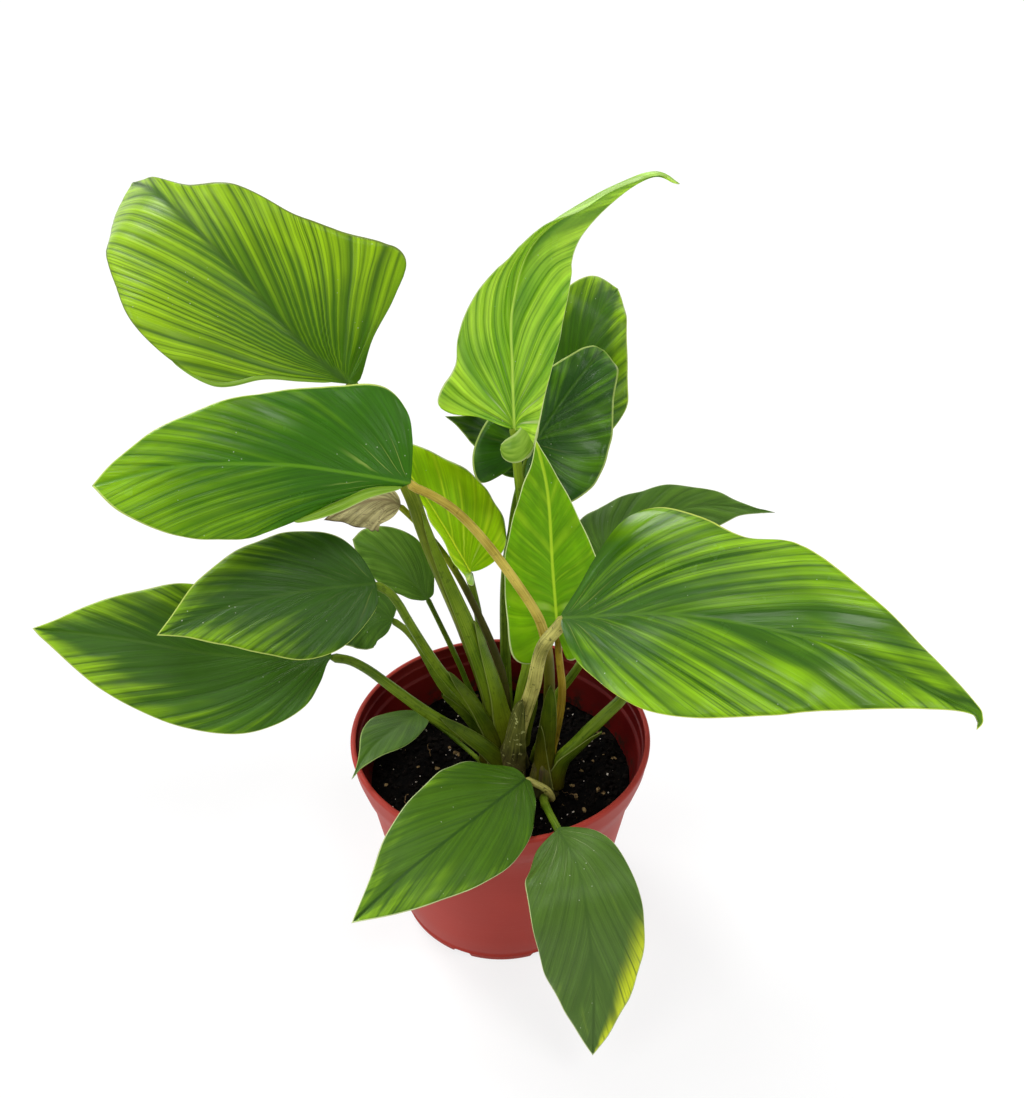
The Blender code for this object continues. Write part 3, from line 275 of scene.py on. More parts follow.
# A stalk runs from its crown to the foot of its leaf. Its radius goes from the
# first value at the crown to the second at the leaf, "slim" says how soon.
STALKS = {
    "top_left": dict(
        path=[(1, 4, 97), (-4, 6, 131), (-17, 10, 174), (-33, 14, 219), (-40, 16, 244), (-52, 18, 274),
              (-67, 20, 304)], radius=(6.6, 2.8), look="olive"),
    "upper_left": dict(
        path=[(21, -10, 88), (24, -12, 130), (24, -14, 168), (20, -18, 197), (10, -22, 221),
              (-8, -26, 253), (-23, -30, 273), (-37, -30, 282)], radius=(4.6, 1.9), look="tan", slim=0.3),
    "large_right": dict(
        path=[(7, -10, 106), (10, -14, 131), (16, -22, 162), (20, -30, 193), (29, -40, 217)],
        radius=(5, 3), look="mottled"),
    "behind_right": dict(
        path=[(25, -14, 90), (36, -12, 112), (51, -6, 128), (62, 0, 136), (72, 15, 145)],
        radius=(4.6, 2.6)),
    "low_left": dict(
        path=[(4, -8, 97), (-15, -12, 120), (-37, -15, 141), (-58, -18, 165), (-69, -20, 177),
              (-80, -20, 180)], radius=(4.6, 2.1)),
    "middle_left": dict(
        path=[(-1, -1, 100), (-14, -4, 134), (-29, -10, 163), (-41, -20, 198), (-48, -27, 221),
              (-55, -30, 230)], radius=(3.6, 1.9)),
    "top_centre": dict(
        path=[(6, 8, 93), (11, 16, 129), (17, 26, 155), (16, 32, 189), (11, 31, 231), (7, 29, 273)],
        radius=(3.4, 2.2), look="fresh"),
    "centre": dict(
        path=[(25, -4, 95), (30, 2, 120), (32, 8, 136), (30, 12, 153), (29, 10, 170)], radius=(3, 1.7),
        look="amber"),
    "back_right": dict(
        path=[(24, 12, 94), (28, 18, 119), (41, 20, 142), (51, 22, 171), (50, 30, 202)], radius=(2.8, 1.9)),
    "back_inner": dict(
        path=[(4, 20, 94), (3, 30, 124), (2, 38, 159), (3, 44, 193), (8, 48, 226), (16, 47, 257)],
        radius=(3.6, 2)),
    "back_high": dict(
        path=[(16, 20, 87), (18, 38, 118), (21, 60, 155), (23, 70, 200), (23, 72, 247)], radius=(3, 2)),
    "folded_centre": dict(
        path=[(-2, 14, 100), (-6, 20, 126), (-11, 28, 166), (-15, 30, 194)], radius=(3.2, 1.9)),
    "withered": dict(
        path=[(6, 12, 94), (1, 18, 139), (-14, 24, 180), (-25, 24, 205), (-36, 22, 224), (-47, 20, 240)],
        radius=(2.6, 1.5), look="brown"),
    "small_hidden": dict(
        path=[(-2, 2, 100), (-18, 0, 128), (-30, 0, 146), (-42, 0, 175), (-52, 0, 187)], radius=(3, 1.6)),
    "inner_left": dict(
        path=[(1, 12, 102), (-14, 24, 116), (-22, 30, 135), (-29, 30, 155), (-37, 30, 177)],
        radius=(1.8, 1.3)),
    "rim_left": dict(
        path=[(-11, 3, 90), (-28, 20, 94), (-44, 25, 105)], radius=(1.5, 1.1)),
    "back_left": dict(
        path=[(10, 30, 90), (13, 45, 126), (16, 60, 182), (15, 70, 231)], radius=(2, 1.3)),
    "front_left": dict(
        path=[(22, -22, 89), (27, -31, 97), (22, -35, 109), (13, -32, 112)], radius=(2.6, 1.7),
        look="mottled"),
    "front_right": dict(
        path=[(24, -20, 89), (22, -34, 100), (23, -59, 118), (27, -78, 125)], radius=(2.6, 1.7)),
}

# The right lobe of the top leaf curls round below the foot. Its two rails start
# on the lobe and end in front of the stalk.
CURL_RAILS = (
    [(19, 29, 282), (18, 27, 274), (15.5, 24, 267.5), (11, 21, 264), (6, 19, 264),
     (2, 18, 267), (0.5, 18, 271.5)],
    [(12, 30, 284), (11.5, 29.5, 281), (10, 28, 278), (8, 26.5, 276), (5.5, 24.5, 275),
     (3, 22, 274.5), (1, 19.5, 273.5)])

# Sheaths are the split bases that wrap a stalk. Each reaches a given length up
# from the crown, faces one way, and ends in a torn tip.
SHEATHS = {
    "top_left": [dict(reach=150, girth=1.15, wrap=150, facing=(0.5, -0.8, 0), look="leafy"),
                 dict(reach=84, girth=1.45, wrap=170, facing=(0.9, -0.4, 0), look="leafy")],
    "middle_left": [dict(reach=76, girth=1.9, wrap=190, facing=(0.8, -0.4, 0))],
    "low_left": [dict(reach=64, girth=1.35, wrap=190, facing=(0.2, -0.2, 1))],
    "upper_left": [dict(reach=68, girth=1.55, wrap=240, facing=(0.1, -1, 0)),
                   dict(reach=40, girth=1.8, wrap=150, facing=(-0.7, -0.7, 0))],
    "large_right": [dict(reach=74, girth=1.7, wrap=240, facing=(-0.8, -0.8, 0), look="rotten")],
    "behind_right": [dict(reach=44, girth=1.3, wrap=190, facing=(0.5, -0.5, 0.6))],
    "small_hidden": [dict(reach=56, girth=1.6, wrap=190, facing=(-0.2, -0.8, 0.2))],
}

# How each kind of leaf is coloured. "dark" and "light" are the two greens that
# the streaks run between, "vein" the thin lines on the side veins, "rib" the
# midrib, as far out as "rib_out", and "edge" the margin. "bias" moves the
# balance to the light green. "pull" says how much the gaps between veins, the
# streaks, the patches, the nearness of the margin and that of the tip draw it
# out, "fold" how much painted light and shade the broad folds get: lighter on
# their crests, darker between them. "line" is the strength of the veins' lines
# and "foot" that of the pale lines at the leaf's foot, partly pale veins and
# partly painted sheen. "stain" is the half that a yellow stain lies on and the
# reach it has, "creased" the strength of the creases' painted shade.
LEAF_LOOKS = {
    # The lime look's dark midrib colour reaches out to rib_out: a wide band, partly the midrib's own dark
    # green and partly painted shade beside it.
    "lime": dict(
        dark=(50, 145, 2), light=(270, 465, 5), vein=(40, 105, 3), rib=(36, 100, 4), edge=(140, 200, 20),
        pull=(0.35, 0.3, 0.35, 0.45, 0.3), bias=0, fold=0.1, line=0.75, foot=0.2, rough=0.34, shine=0.14,
        rib_out=2.4),
    "green": dict(
        dark=(28, 108, 1), light=(175, 330, 2), vein=(30, 105, 2), rib=(90, 220, 10),
        edge=(450, 560, 120), pull=(0.15, 0.25, 0.4, 0.25, 0.8), bias=-0.1, fold=0.15, line=0.55, foot=1,
        rough=0.25, shine=0.15),
    "fresh": dict(
        dark=(80, 240, 3), light=(345, 600, 36), vein=(50, 170, 2), rib=(420, 640, 90),
        edge=(560, 660, 250), pull=(0.16, 0.26, 0.35, 0.2, 0), bias=0.14, fold=0.25, line=0.65, foot=0.9,
        rough=0.24, shine=0.3),
    "striped": dict(
        dark=(28, 96, 1), light=(200, 385, 3), vein=(20, 70, 2), rib=(60, 150, 8), edge=(560, 660, 100),
        pull=(0.2, 0.25, 0.5, 0.4, 0.15), bias=-0.05, fold=0.3, line=0.65, foot=0.3, rough=0.25, shine=0.2),
    "dark": dict(
        dark=(14, 56, 1), light=(90, 195, 2), vein=(14, 48, 1), rib=(40, 100, 4), edge=(300, 400, 90),
        pull=(0.25, 0.3, 0.4, 0.35, 0.2), bias=-0.15, fold=0.3, line=0.6, foot=0.2, rough=0.3, shine=0.16),
    "dark_lime": dict(
        dark=(22, 70, 1), light=(170, 310, 3), vein=(18, 56, 1), rib=(34, 90, 4), edge=(400, 500, 100),
        pull=(0.2, 0.35, 0.4, 0.7, 0.5), bias=-0.45, fold=0.2, line=0.6, foot=0.2, rough=0.34, shine=0.16),
    "matt": dict(
        dark=(40, 98, 6), light=(80, 162, 14), vein=(36, 86, 8), rib=(50, 110, 12), edge=(250, 340, 90),
        pull=(0.2, 0.4, 0.5, 0.2, 0.1), bias=0, fold=0.2, line=0.35, foot=0.1, rough=0.46, shine=0.14),
    "soft": dict(
        dark=(48, 112, 6), light=(190, 340, 12), vein=(30, 80, 6), rib=(16, 50, 4), edge=(520, 600, 280),
        pull=(0.1, 0.35, 0.7, 0.4, 0.5), bias=-0.35, fold=0.15, line=0.75, foot=0.4, rough=0.4, shine=0.14),
    "stained": dict(
        dark=(50, 108, 12), light=(155, 260, 22), vein=(34, 80, 8), rib=(34, 80, 8), edge=(460, 540, 240),
        pull=(0.1, 0.35, 0.7, 0.3, 0.3), bias=-0.35, fold=0.15, line=0.65, foot=0.5, rough=0.4,
        shine=0.16, stain=(-1, 0.35, 1.1)),
    "pale": dict(
        dark=(100, 240, 1), light=(270, 480, 2), vein=(300, 460, 20), rib=(420, 560, 50),
        edge=(600, 700, 300), pull=(0.05, 0.08, 0.35, 0.2, 0), bias=0, fold=0, line=0.38, foot=0.3,
        rough=0.36, shine=0.1),
    "withered": dict(
        dark=(170, 140, 60), light=(560, 500, 270), vein=(130, 95, 50), rib=(200, 150, 80),
        edge=(120, 90, 50), pull=(0.15, 0.5, 0.5, 0, 0), bias=0.3, fold=0.05, line=0.25, foot=0,
        rough=0.75, shine=0.2, creased=0.7),
}

# A stalk's "base" colour runs up from the crown: "low" says where it starts to
# fade, where it ends and how strong it is. "flecks" is the strength of small
# flecks, and "border" that of a sheath's pale border.
STALK_LOOKS = {
    "green": dict(base=(70, 66, 3), dark=(45, 95, 2), light=(150, 225, 12), rough=0.34),
    "olive": dict(base=(75, 70, 3), dark=(70, 110, 2), light=(190, 235, 14), rough=0.36),
    "tan": dict(base=(70, 75, 4), dark=(250, 180, 16), light=(600, 480, 90), rough=0.42,
                low=(0.38, 0.5, 0.95)),
    "amber": dict(base=(150, 90, 4), dark=(200, 130, 6), light=(450, 320, 30), rough=0.36),
    "mottled": dict(base=(60, 60, 10), dark=(130, 130, 22), light=(520, 480, 130), rough=0.4, flecks=0.7),
    "brown": dict(base=(60, 52, 12), dark=(190, 230, 6), light=(420, 480, 30), rough=0.5, flecks=0.9,
                  low=(0.6, 0.78, 0.95)),
    "sheath": dict(base=(75, 52, 3), dark=(24, 52, 2), light=(95, 145, 6), rough=0.32, border=0.5),
    "leafy": dict(base=(110, 110, 4), dark=(60, 120, 2), light=(170, 260, 12), rough=0.32, border=0.4),
    "rotten": dict(base=(130, 90, 40), dark=(10, 16, 2), light=(150, 155, 30), rough=0.5, flecks=1,
                   fleck=(420, 420, 150)),
    "fresh": dict(base=(90, 110, 4), dark=(90, 170, 4), light=(250, 360, 20), rough=0.32),
}


# ---- curves --------------------------------------------------------------
def smooth_curve(points, count):
    """Points of the smooth curve through the given ones, evenly spread over the spans."""
    given = np.asarray(points, float)
    padded = np.vstack([2 * given[0] - given[1], given, 2 * given[-1] - given[-2]])
    place = np.linspace(0, len(given) - 1, count)
    span = np.minimum(place.astype(int), len(given) - 2)
    part = (place - span)[:, None]
    a, b, c, d = (padded[span + k] for k in range(4))
    return 0.5 * (2 * b + (c - a) * part + (2 * a - 5 * b + 4 * c - d) * part ** 2
                  + (3 * b - a - 3 * c + d) * part ** 3)


def lengths_along(curve):
    steps = np.linalg.norm(np.diff(curve, axis=0), axis=1)
    return np.concatenate([[0.0], np.cumsum(steps)])


def at_length(curve, run, where):
    """Points of a curve at the given distances from its start."""
    return np.stack([np.interp(where, run, values) for values in curve.T], 1)


def unit(vectors):
    vectors = np.asarray(vectors, float)
    return vectors / np.maximum(np.linalg.norm(vectors, axis=-1, keepdims=True), 1e-9)


# ---- blades --------------------------------------------------------------
def of_side(leaf, key, side):
    """A leaf's value for one half. The left half may have one of its own."""
    return leaf.get(key + "_left", leaf[key]) if side < 0 else leaf[key]


def outer_angles(curve):
    """Direction of each point of a margin from the leaf's foot, and which lie far out."""
    far = np.hypot(curve[:, 0], curve[:, 1]) > 0.3 * curve[:, 0].max()
    return np.arctan2(curve[:, 0], curve[:, 1]), far


def lobe_corner(curve, run):
    """Distance along a margin to the corner of its lobe, seen from the leaf's foot."""
    angle, far = outer_angles(curve)
    back = angle > angle[far].max() - CORNER_SLACK
    return run[np.nonzero(far & back)[0][-1]]


def complex_points(curve, run, where):
    """Points of a margin at the given distances, as complex numbers: along + i * out."""
    out, along = at_length(curve, run, where).T
    return along + 1j * out


def flat_half(edge, length, cells, turn, rise):
    """A pressed half blade. Its first row is the margin from the leaf's foot to the
    corner of the lobe, the other rows bow towards the tip, and the columns run
    out from the midrib to the margin."""
    curve = smooth_curve(edge, MARGIN_POINTS)
    curve[:, 0] = np.maximum(curve[:, 0], 0.0)
    run = lengths_along(curve)
    corner = lobe_corner(curve, run)
    share = np.linspace(0, 1, cells[1] + 1)
    row = np.linspace(0, 1, cells[0] + 1)
    basal = complex_points(curve, run, share * corner)
    basal = basal / basal[-1]
    margin = complex_points(curve, run, corner + row * (run[-1] - corner))
    start = length * row ** rise
    swing = turn * np.angle(margin - start + 1e-9) * np.clip(2 * row - 0.1, -0.1, 1)
    blend = np.clip(row / 0.2, 0, 1)[:, None]
    bowed = share * (1 - share) * np.exp(1j * swing[:, None]) + share ** 2
    shape = (1 - blend) * basal + blend * bowed
    grid = start[:, None] + (margin - start)[:, None] * shape
    return np.stack([grid.imag, grid.real], -1)


def raise_half(leaf, side, flat):
    """Carry a pressed half blade onto the leaf's midrib, folded and curled."""
    curve = smooth_curve(leaf["midrib"], MIDRIB_POINTS)
    run = lengths_along(curve)
    length = run[-1]
    out, along = flat[..., 0].ravel(), flat[..., 1].ravel()
    held = np.clip(along, 0, length)
    span = leaf.get("span", 2)
    ahead, behind = (at_length(curve, run, np.clip(held + step, 0, length))
                     for step in (span, -span))
    forward = unit(ahead - behind)
    share = held / length
    ease = (share * share * (3 - 2 * share))[:, None]
    tip_face = leaf.get("face_tip", leaf["face"])
    facing = unit(leaf["face"]) * (1 - ease) + unit(tip_face) * ease
    normal = unit(facing - np.sum(facing * forward, 1, keepdims=True) * forward)
    outward = np.cross(forward, normal) * side
    fold, curl = (np.radians(np.interp(share, (0, 1), of_side(leaf, key, side)))
                  for key in ("fold", "curl"))
    bend = curl / leaf["half"]
    bend = np.where(np.abs(bend) < 1e-6, 1e-6, bend)
    sideways = ((np.sin(fold + bend * out) - np.sin(fold)) / bend)[:, None]
    upward = ((np.cos(fold) - np.cos(fold + bend * out)) / bend)[:, None]
    spots = (at_length(curve, run, held) + forward * (along - held)[:, None]
             + outward * sideways + normal * upward)
    return spots.reshape(*flat.shape[:2], 3)


def vein_field(leaf, edge, length, flat):
    """Where each point of a pressed half blade lies between the lobe's first side vein
    (0) and the tip's last (1), and how much blade there would be to one such vein."""
    steps = np.linspace(0, 1, VEIN_STEPS)
    angles, far = outer_angles(smooth_curve(edge, MARGIN_POINTS))
    first, last = angles[far].max() + FIRST_VEIN, math.radians(LAST_VEIN)
    angle = last + (first - last) * (1 - steps) ** leaf.get("spread", VEIN_SPREAD)
    start = length * steps ** leaf.get("gather", VEIN_GATHER)
    hug = VEIN_HUG * length * np.minimum(1, 2.5 * steps) * (1 - steps)
    out, along = flat[..., 0].reshape(-1, 1), flat[..., 1].reshape(-1, 1)
    bow = leaf.get("bow", VEIN_BOW) * steps ** 0.5 * out * (out / leaf["half"]) ** 1.5
    course = start + hug * (1 - np.exp(-out / 3.0)) + out / np.tan(angle) + bow
    low = np.clip(np.sum(course < along, axis=1) - 1, 0, len(steps) - 2)
    rows = np.arange(len(low))
    passed = course[rows, low]
    gap = np.maximum(course[rows, low + 1] - passed, 1e-9)
    vein = steps[low] + steps[1] * np.clip((along[:, 0] - passed) / gap, 0, 1)
    slope = 1 / np.tan(angle[low]) + 2.5 * bow[rows, low] / np.maximum(out[:, 0], 1e-6)
    pitch = gap / steps[1] / np.sqrt(1 + slope ** 2)
    return vein.reshape(flat.shape[:2]), pitch.reshape(flat.shape[:2])


def vein_number(vein, ribs, seed):
    """Counts the side veins, unevenly spread: whole numbers lie on a vein."""
    uneven = sum(size * np.sin(2 * math.pi * (rate * vein + shift * seed))
                 for size, rate, shift in UNEVEN_VEINS)
    return ribs * (vein + uneven + 0.04)


def half_grid(leaf, side, cells, seed):
    """One half of a blade's middle sheet, with what its finish needs to know."""
    length = lengths_along(smooth_curve(leaf["midrib"], MIDRIB_POINTS))[-1]
    edge = [(0.0, 0.0), *of_side(leaf, "margin", side), (0.0, length)]
    flat = flat_half(edge, length, cells, leaf.get("turn", ROW_TURN), leaf.get("rise", ROW_RISE))
    steps = np.linalg.norm(np.diff(flat, axis=1), axis=2)
    travelled = np.cumsum(np.pad(steps, ((0, 0), (1, 0))), axis=1)
    vein, pitch = vein_field(leaf, edge, length, flat)
    share = np.broadcast_to(np.linspace(0, 1, cells[1] + 1), vein.shape)
    return dict(spot=raise_half(leaf, side, flat), out=side * flat[..., 0], share=side * share,
                edge=travelled[:, -1:] - travelled, reach=np.clip(flat[..., 1] / length, 0, 1),
                pitch=pitch / leaf["ribs"], phase=vein_number(vein, leaf["ribs"], seed))


def blade_grid(leaf, cells, seed):
    """A blade's middle sheet as a grid from the left margin to the right one."""
    left, right = (half_grid(leaf, side, cells, seed) for side in (-1, 1))
    return {key: np.concatenate([left[key][:, :0:-1], right[key]], 1) for key in left}


def grid_normals(spots):
    """A direction off the sheet at each grid point. Points in one place share it."""
    cross = np.cross(spots[1:, 1:] - spots[:-1, :-1], spots[:-1, 1:] - spots[1:, :-1])
    normals = np.zeros_like(spots)
    for rows in (slice(0, -1), slice(1, None)):
        for cols in (slice(0, -1), slice(1, None)):
            normals[rows, cols] += cross
    keys = np.round(spots.reshape(-1, 3), 3)
    same = np.unique(keys, axis=0, return_inverse=True)[1].ravel()
    total = np.zeros((same.max() + 1, 3))
    np.add.at(total, same, normals.reshape(-1, 3))
    return unit(total[same]).reshape(spots.shape)


def swelling(phase):
    """Rounded ridges between whole numbers, meeting in sharp furrows on them."""
    return np.sin(math.pi * (phase - np.floor(phase))) ** 0.8 - 0.6


def relief(leaf, grid):
    """How far the upper side swells between the side veins and sinks at the midrib."""
    across = np.abs(grid["share"])
    phase, pitch = grid["phase"], grid["pitch"]
    narrow = 0.6 * np.minimum(leaf["ridge"], STEEP * pitch) * swelling(phase)
    broad = 1.4 * np.minimum(leaf["ridge"], STEEP * 2 * pitch) * swelling(phase / FOLD_VEINS + 0.4)
    taper = np.clip(across * 6, 0.1, 1) * np.clip((1 - across) * 6, 0.3, 1)
    waves, tall = leaf.get("wave", (5, 0.7))
    ripple = np.sin(2 * math.pi * waves * grid["reach"] + 2.0 * np.sign(grid["share"]))
    wave = tall * ripple * across ** 3 * np.clip((1 - grid["reach"]) * 4, 0, 1)
    groove = GROOVE_DEEP * np.exp(-(grid["out"] / GROOVE_WIDE) ** 2)
    return (narrow + broad) * taper + wave - groove


def blade_surfaces(leaf, grid):
    """Upper and lower side of a blade as two grids."""
    normal = grid_normals(grid["spot"])
    normal *= math.copysign(1, np.sum(normal * np.array(leaf["face"])))
    height = relief(leaf, grid)
    fade = (1 - grid["reach"]) ** 0.8
    keel = MIDRIB_DEEP * fade * np.exp(-(grid["out"] / MIDRIB_WIDE) ** 2)
    half = BLADE_HALF * np.clip(0.35 + grid["edge"] / 1.5, 0, 1)
    upper = grid["spot"] + normal * (height + half)[..., None]
    lower = grid["spot"] + normal * (height - half - keel)[..., None]
    return upper, lower


def fit_to(node, spots):
    """Shift that brings the middle of some points onto the middle of a CAD node."""
    low, high = box_mm(node)
    return (low + high) / 2 - (spots.min(0) + spots.max(0)) / 2


def grid_faces(rows, cols, first=0, flip=False):
    """Quads of a grid whose points are numbered row by row."""
    start = (np.arange(rows)[:, None] * (cols + 1) + np.arange(cols)).ravel()
    quads = np.stack([start, start + 1, start + cols + 2, start + cols + 1], 1) + first
    return quads[:, ::-1] if flip else quads


def mesh_piece(name, spots, faces, finishes, slots=None, layers=None, smooth=True):
    """A mesh object from points in millimetres. Points in one place are joined.
    slots gives each face its finish, layers the UV pair at each point."""
    mesh = bpy.data.meshes.new(name)
    mesh.from_pydata((np.asarray(spots) * MM).tolist(), [], [list(f) for f in faces])
    for finish in finishes:
        mesh.materials.append(finish)
    if slots is not None:
        mesh.polygons.foreach_set("material_index", np.asarray(slots, np.int32))
    corner = np.zeros(len(mesh.loops), np.int32)
    mesh.loops.foreach_get("vertex_index", corner)
    for layer, pairs in (layers or {}).items():
        made = mesh.uv_layers.new(name=layer)
        made.data.foreach_set("uv", np.asarray(pairs, float)[corner].ravel())
    body = bmesh.new()
    body.from_mesh(mesh)
    bmesh.ops.remove_doubles(body, verts=body.verts, dist=0.00001)
    bmesh.ops.dissolve_degenerate(body, edges=body.edges, dist=0.000002)
    bmesh.ops.recalc_face_normals(body, faces=body.faces)
    for face in body.faces:
        face.smooth = smooth
    body.to_mesh(mesh)
    body.free()
    mesh.update()
    return link(name, mesh)


def link(name, data):
    """Put an object with the given data into the scene."""
    made = bpy.data.objects.new(name, data)
    bpy.context.scene.collection.objects.link(made)
    return made


def seat(piece, node, stands=False):
    """Let a piece ride on the plant. One that stands for a CAD node hides that node."""
    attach(piece, BODY)
    if stands:
        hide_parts(node)


def sheet_faces(rows, cols):
    """Faces of a sheet with two sides: the upper grid, the lower grid and the rim."""
    count = (rows + 1) * (cols + 1)
    rim = np.concatenate([np.arange(rows + 1) * (cols + 1),
                          rows * (cols + 1) + np.arange(1, cols + 1),
                          np.arange(rows - 1, -1, -1) * (cols + 1) + cols,
                          np.arange(cols - 1, 0, -1)])
    following = np.roll(rim, -1)
    wall = np.stack([rim, following, following + count, rim + count], 1)
    return np.vstack([grid_faces(rows, cols), grid_faces(rows, cols, count, True), wall])


def thin_piece(name, upper, lower, finishes, layers):
    """A sheet with two sides from two grids of points. A second finish is for all but
    the upper side. layers gives two values for each grid point, both sides alike."""
    rows, cols = upper.shape[0] - 1, upper.shape[1] - 1
    faces = sheet_faces(rows, cols)
    slots = np.minimum(np.arange(len(faces)) // (rows * cols), len(finishes) - 1)
    pairs = {}
    for layer, values in layers.items():
        pair = [np.broadcast_to(value, upper.shape[:2]).ravel() for value in values]
        pairs[layer] = np.tile(np.stack(pair, 1), (2, 1))
    spots = np.vstack([upper.reshape(-1, 3), lower.reshape(-1, 3)])
    return mesh_piece(name, spots, faces, finishes, slots, pairs)


def build_strip(name, node, rails, bulge):
    """A bent strip of leaf between two rails of points, swelling off their plane."""
    rows, cols = STRIP_CELLS
    first, second = (smooth_curve(rail, rows + 1)[:, None] for rail in rails)
    across = np.linspace(0, 1, cols + 1)[:, None]
    along = np.linspace(0, 1, rows + 1)[:, None]
    swell = np.sin(math.pi * across) * np.sin(math.pi * along[:, None]) ** 0.5
    sheet = first * (1 - across) + second * across + np.array(bulge) * swell
    off = grid_normals(sheet) * BLADE_HALF
    skin = {"skin": (across[:, 0], along)}
    seat(thin_piece(name, sheet + off, sheet - off, [fold_finish()], skin), node)


def left_margin(values):
    """A grid's values on the left margin of a blade, from its foot to its tip."""
    return np.concatenate([values[0, values.shape[1] // 2::-1], values[1:, 0]])


def build_hem(name, hem, grid):
    """The part of a margin that is folded over, its pale lower side showing."""
    margin, reach = (left_margin(grid[key]) for key in ("spot", "reach"))
    margin = margin[(reach >= hem["low"]) & (reach <= hem["high"])]
    run = lengths_along(margin)
    share = np.linspace(0, 1, HEM_POINTS)
    margin = at_length(margin, run, share * run[-1])
    width = hem["width"] * np.sin(math.pi * share) ** 0.6
    outer = margin + unit(hem["lean"]) * width[:, None]
    build_strip("hem_" + name, "leaf_" + name, (margin, outer), hem["bulge"])


def build_blade(name, leaf, seed):
    """Build a leaf's blade and hand back the point its stalk has to reach."""
    node = "leaf_" + name
    grid = blade_grid(leaf, CELLS_LARGE if name in LARGE else CELLS_SMALL, seed)
    if "hold" not in leaf:
        grid["spot"] += fit_to(node, grid["spot"].reshape(-1, 3))
    upper, lower = blade_surfaces(leaf, grid)
    layers = {"veins": (grid["phase"], grid["share"]), "blade": (grid["edge"], grid["reach"]),
              "rib": (np.abs(grid["out"]), seed * 7.3)}
    kind = (leaf["look"], leaf.get("tone", (1, 1, 1)))
    finishes = [leaf_finish(*kind), under_finish(*kind)]
    seat(thin_piece("blade_" + name, upper, lower, finishes, layers), node, True)
    if "hem" in leaf:
        build_hem(name, leaf["hem"], grid)
    return lower[0, upper.shape[1] // 2]


# ---- stalks and sheaths --------------------------------------------------
def carried_path(node, path):
    """The table's path, moved onto the CAD stalk that was seated on its neighbours."""
    solid = np.array([v.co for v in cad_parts[node].data.vertices]) / MM
    course = smooth_curve(path, PATH_POINTS)
    run = lengths_along(course)
    stations = np.linspace(0, run[-1], max(4, int(run[-1] / SOLID_STEP)))
    near = np.argmin(np.linalg.norm(solid[:, None] - course[None], axis=2), axis=1)
    nearest = np.argmin(np.abs(run[near][:, None] - stations[None]), axis=1)
    centres = [solid[nearest == k].mean(0) for k in range(len(stations)) if np.any(nearest == k)]
    return smooth_curve(centres, COURSE_POINTS)


def course_of(name, joint):
    """Centre line of a stalk, from its foot in the soil to the blade it carries, and
    the distance of each of its points from the foot."""
    curve = carried_path("stalk_" + name, STALKS[name]["path"])
    lean = unit(curve[6] - curve[0])
    down = np.array([0, 0, -1.0])
    foot = [curve[0] + ROOTED * (t * down - 0.5 * t * (2 - t) * lean) for t in (1.0, 0.6, 0.25)]
    head = joint + unit(joint - curve[-9]) * 0.8
    curve = np.vstack([smooth_curve([*foot, curve[0]], 24)[:-1], curve, head])
    run = lengths_along(curve)
    stations = np.linspace(0, run[-1], max(8, int(run[-1] / STALK_STEP)))
    return at_length(curve, run, stations), stations


def radius_at(name, share):
    """Radius of a stalk at a share of its length from the foot."""
    foot, top = STALKS[name]["radius"]
    return foot + (top - foot) * share ** STALKS[name].get("slim", 0.6)


def cross_axes(centres, start):
    """Two directions across the curve at each centre, carried along without twist."""
    across = np.array(start, float)
    axes = []
    for ahead in unit(np.gradient(centres, axis=0)):
        across = unit(across - np.dot(across, ahead) * ahead)
        axes.append((across, np.cross(ahead, across)))
    return axes


def ring(centre, axes, reach, turns):
    """Points round a centre, so far out at each turn from the first axis to the second."""
    away = np.cos(turns)[:, None] * axes[0] + np.sin(turns)[:, None] * axes[1]
    return centre + np.reshape(reach, (-1, 1)) * away


def tube_faces(rings, sides, first=0):
    """Faces of a closed tube whose points are numbered ring by ring."""
    faces = []
    for low in range(first, first + (rings - 1) * sides, sides):
        for k in range(sides):
            n = (k + 1) % sides
            faces.append([low + k, low + n, low + sides + n, low + sides + k])
    last = first + (rings - 1) * sides
    return [*faces, list(range(first, first + sides))[::-1], list(range(last, last + sides))]


def build_stalk(name, centres, stations):
    """A stalk as a closed tube, with a groove along its back and a thicker head."""
    share = stations / stations[-1]
    swollen = 1 + 0.10 * np.exp(-((stations[-1] - stations) / 5) ** 2)
    radii = radius_at(name, share) * swollen
    radii[-1] *= 0.5
    turns = np.linspace(0, 2 * math.pi, STALK_SIDES + 1)[:-1]
    grooved = 1 - 0.10 * np.exp(-((turns - math.pi) / 0.5) ** 2)
    spots, layers = [], []
    for k, axes in enumerate(cross_axes(centres, (0.0, -1.0, 0.2))):
        ribbed = 1 + 0.015 * np.sin(9 * turns + 0.02 * stations[k])
        wobble = 1 + 0.03 * noise.noise(Vector((centres[k] * 0.05).tolist()))
        spots.append(ring(centres[k], axes, radii[k] * grooved * ribbed * wobble, turns))
        layers.append(np.stack([turns / (2 * math.pi), np.full(STALK_SIDES, share[k])], 1))
    faces = tube_faces(len(centres), STALK_SIDES)
    finish = stalk_finish(STALKS[name].get("look", "green"))
    piece = mesh_piece("petiole_" + name, np.vstack(spots), faces, [finish],
                       layers={"skin": np.vstack(layers)})
    seat(piece, "stalk_" + name, True)


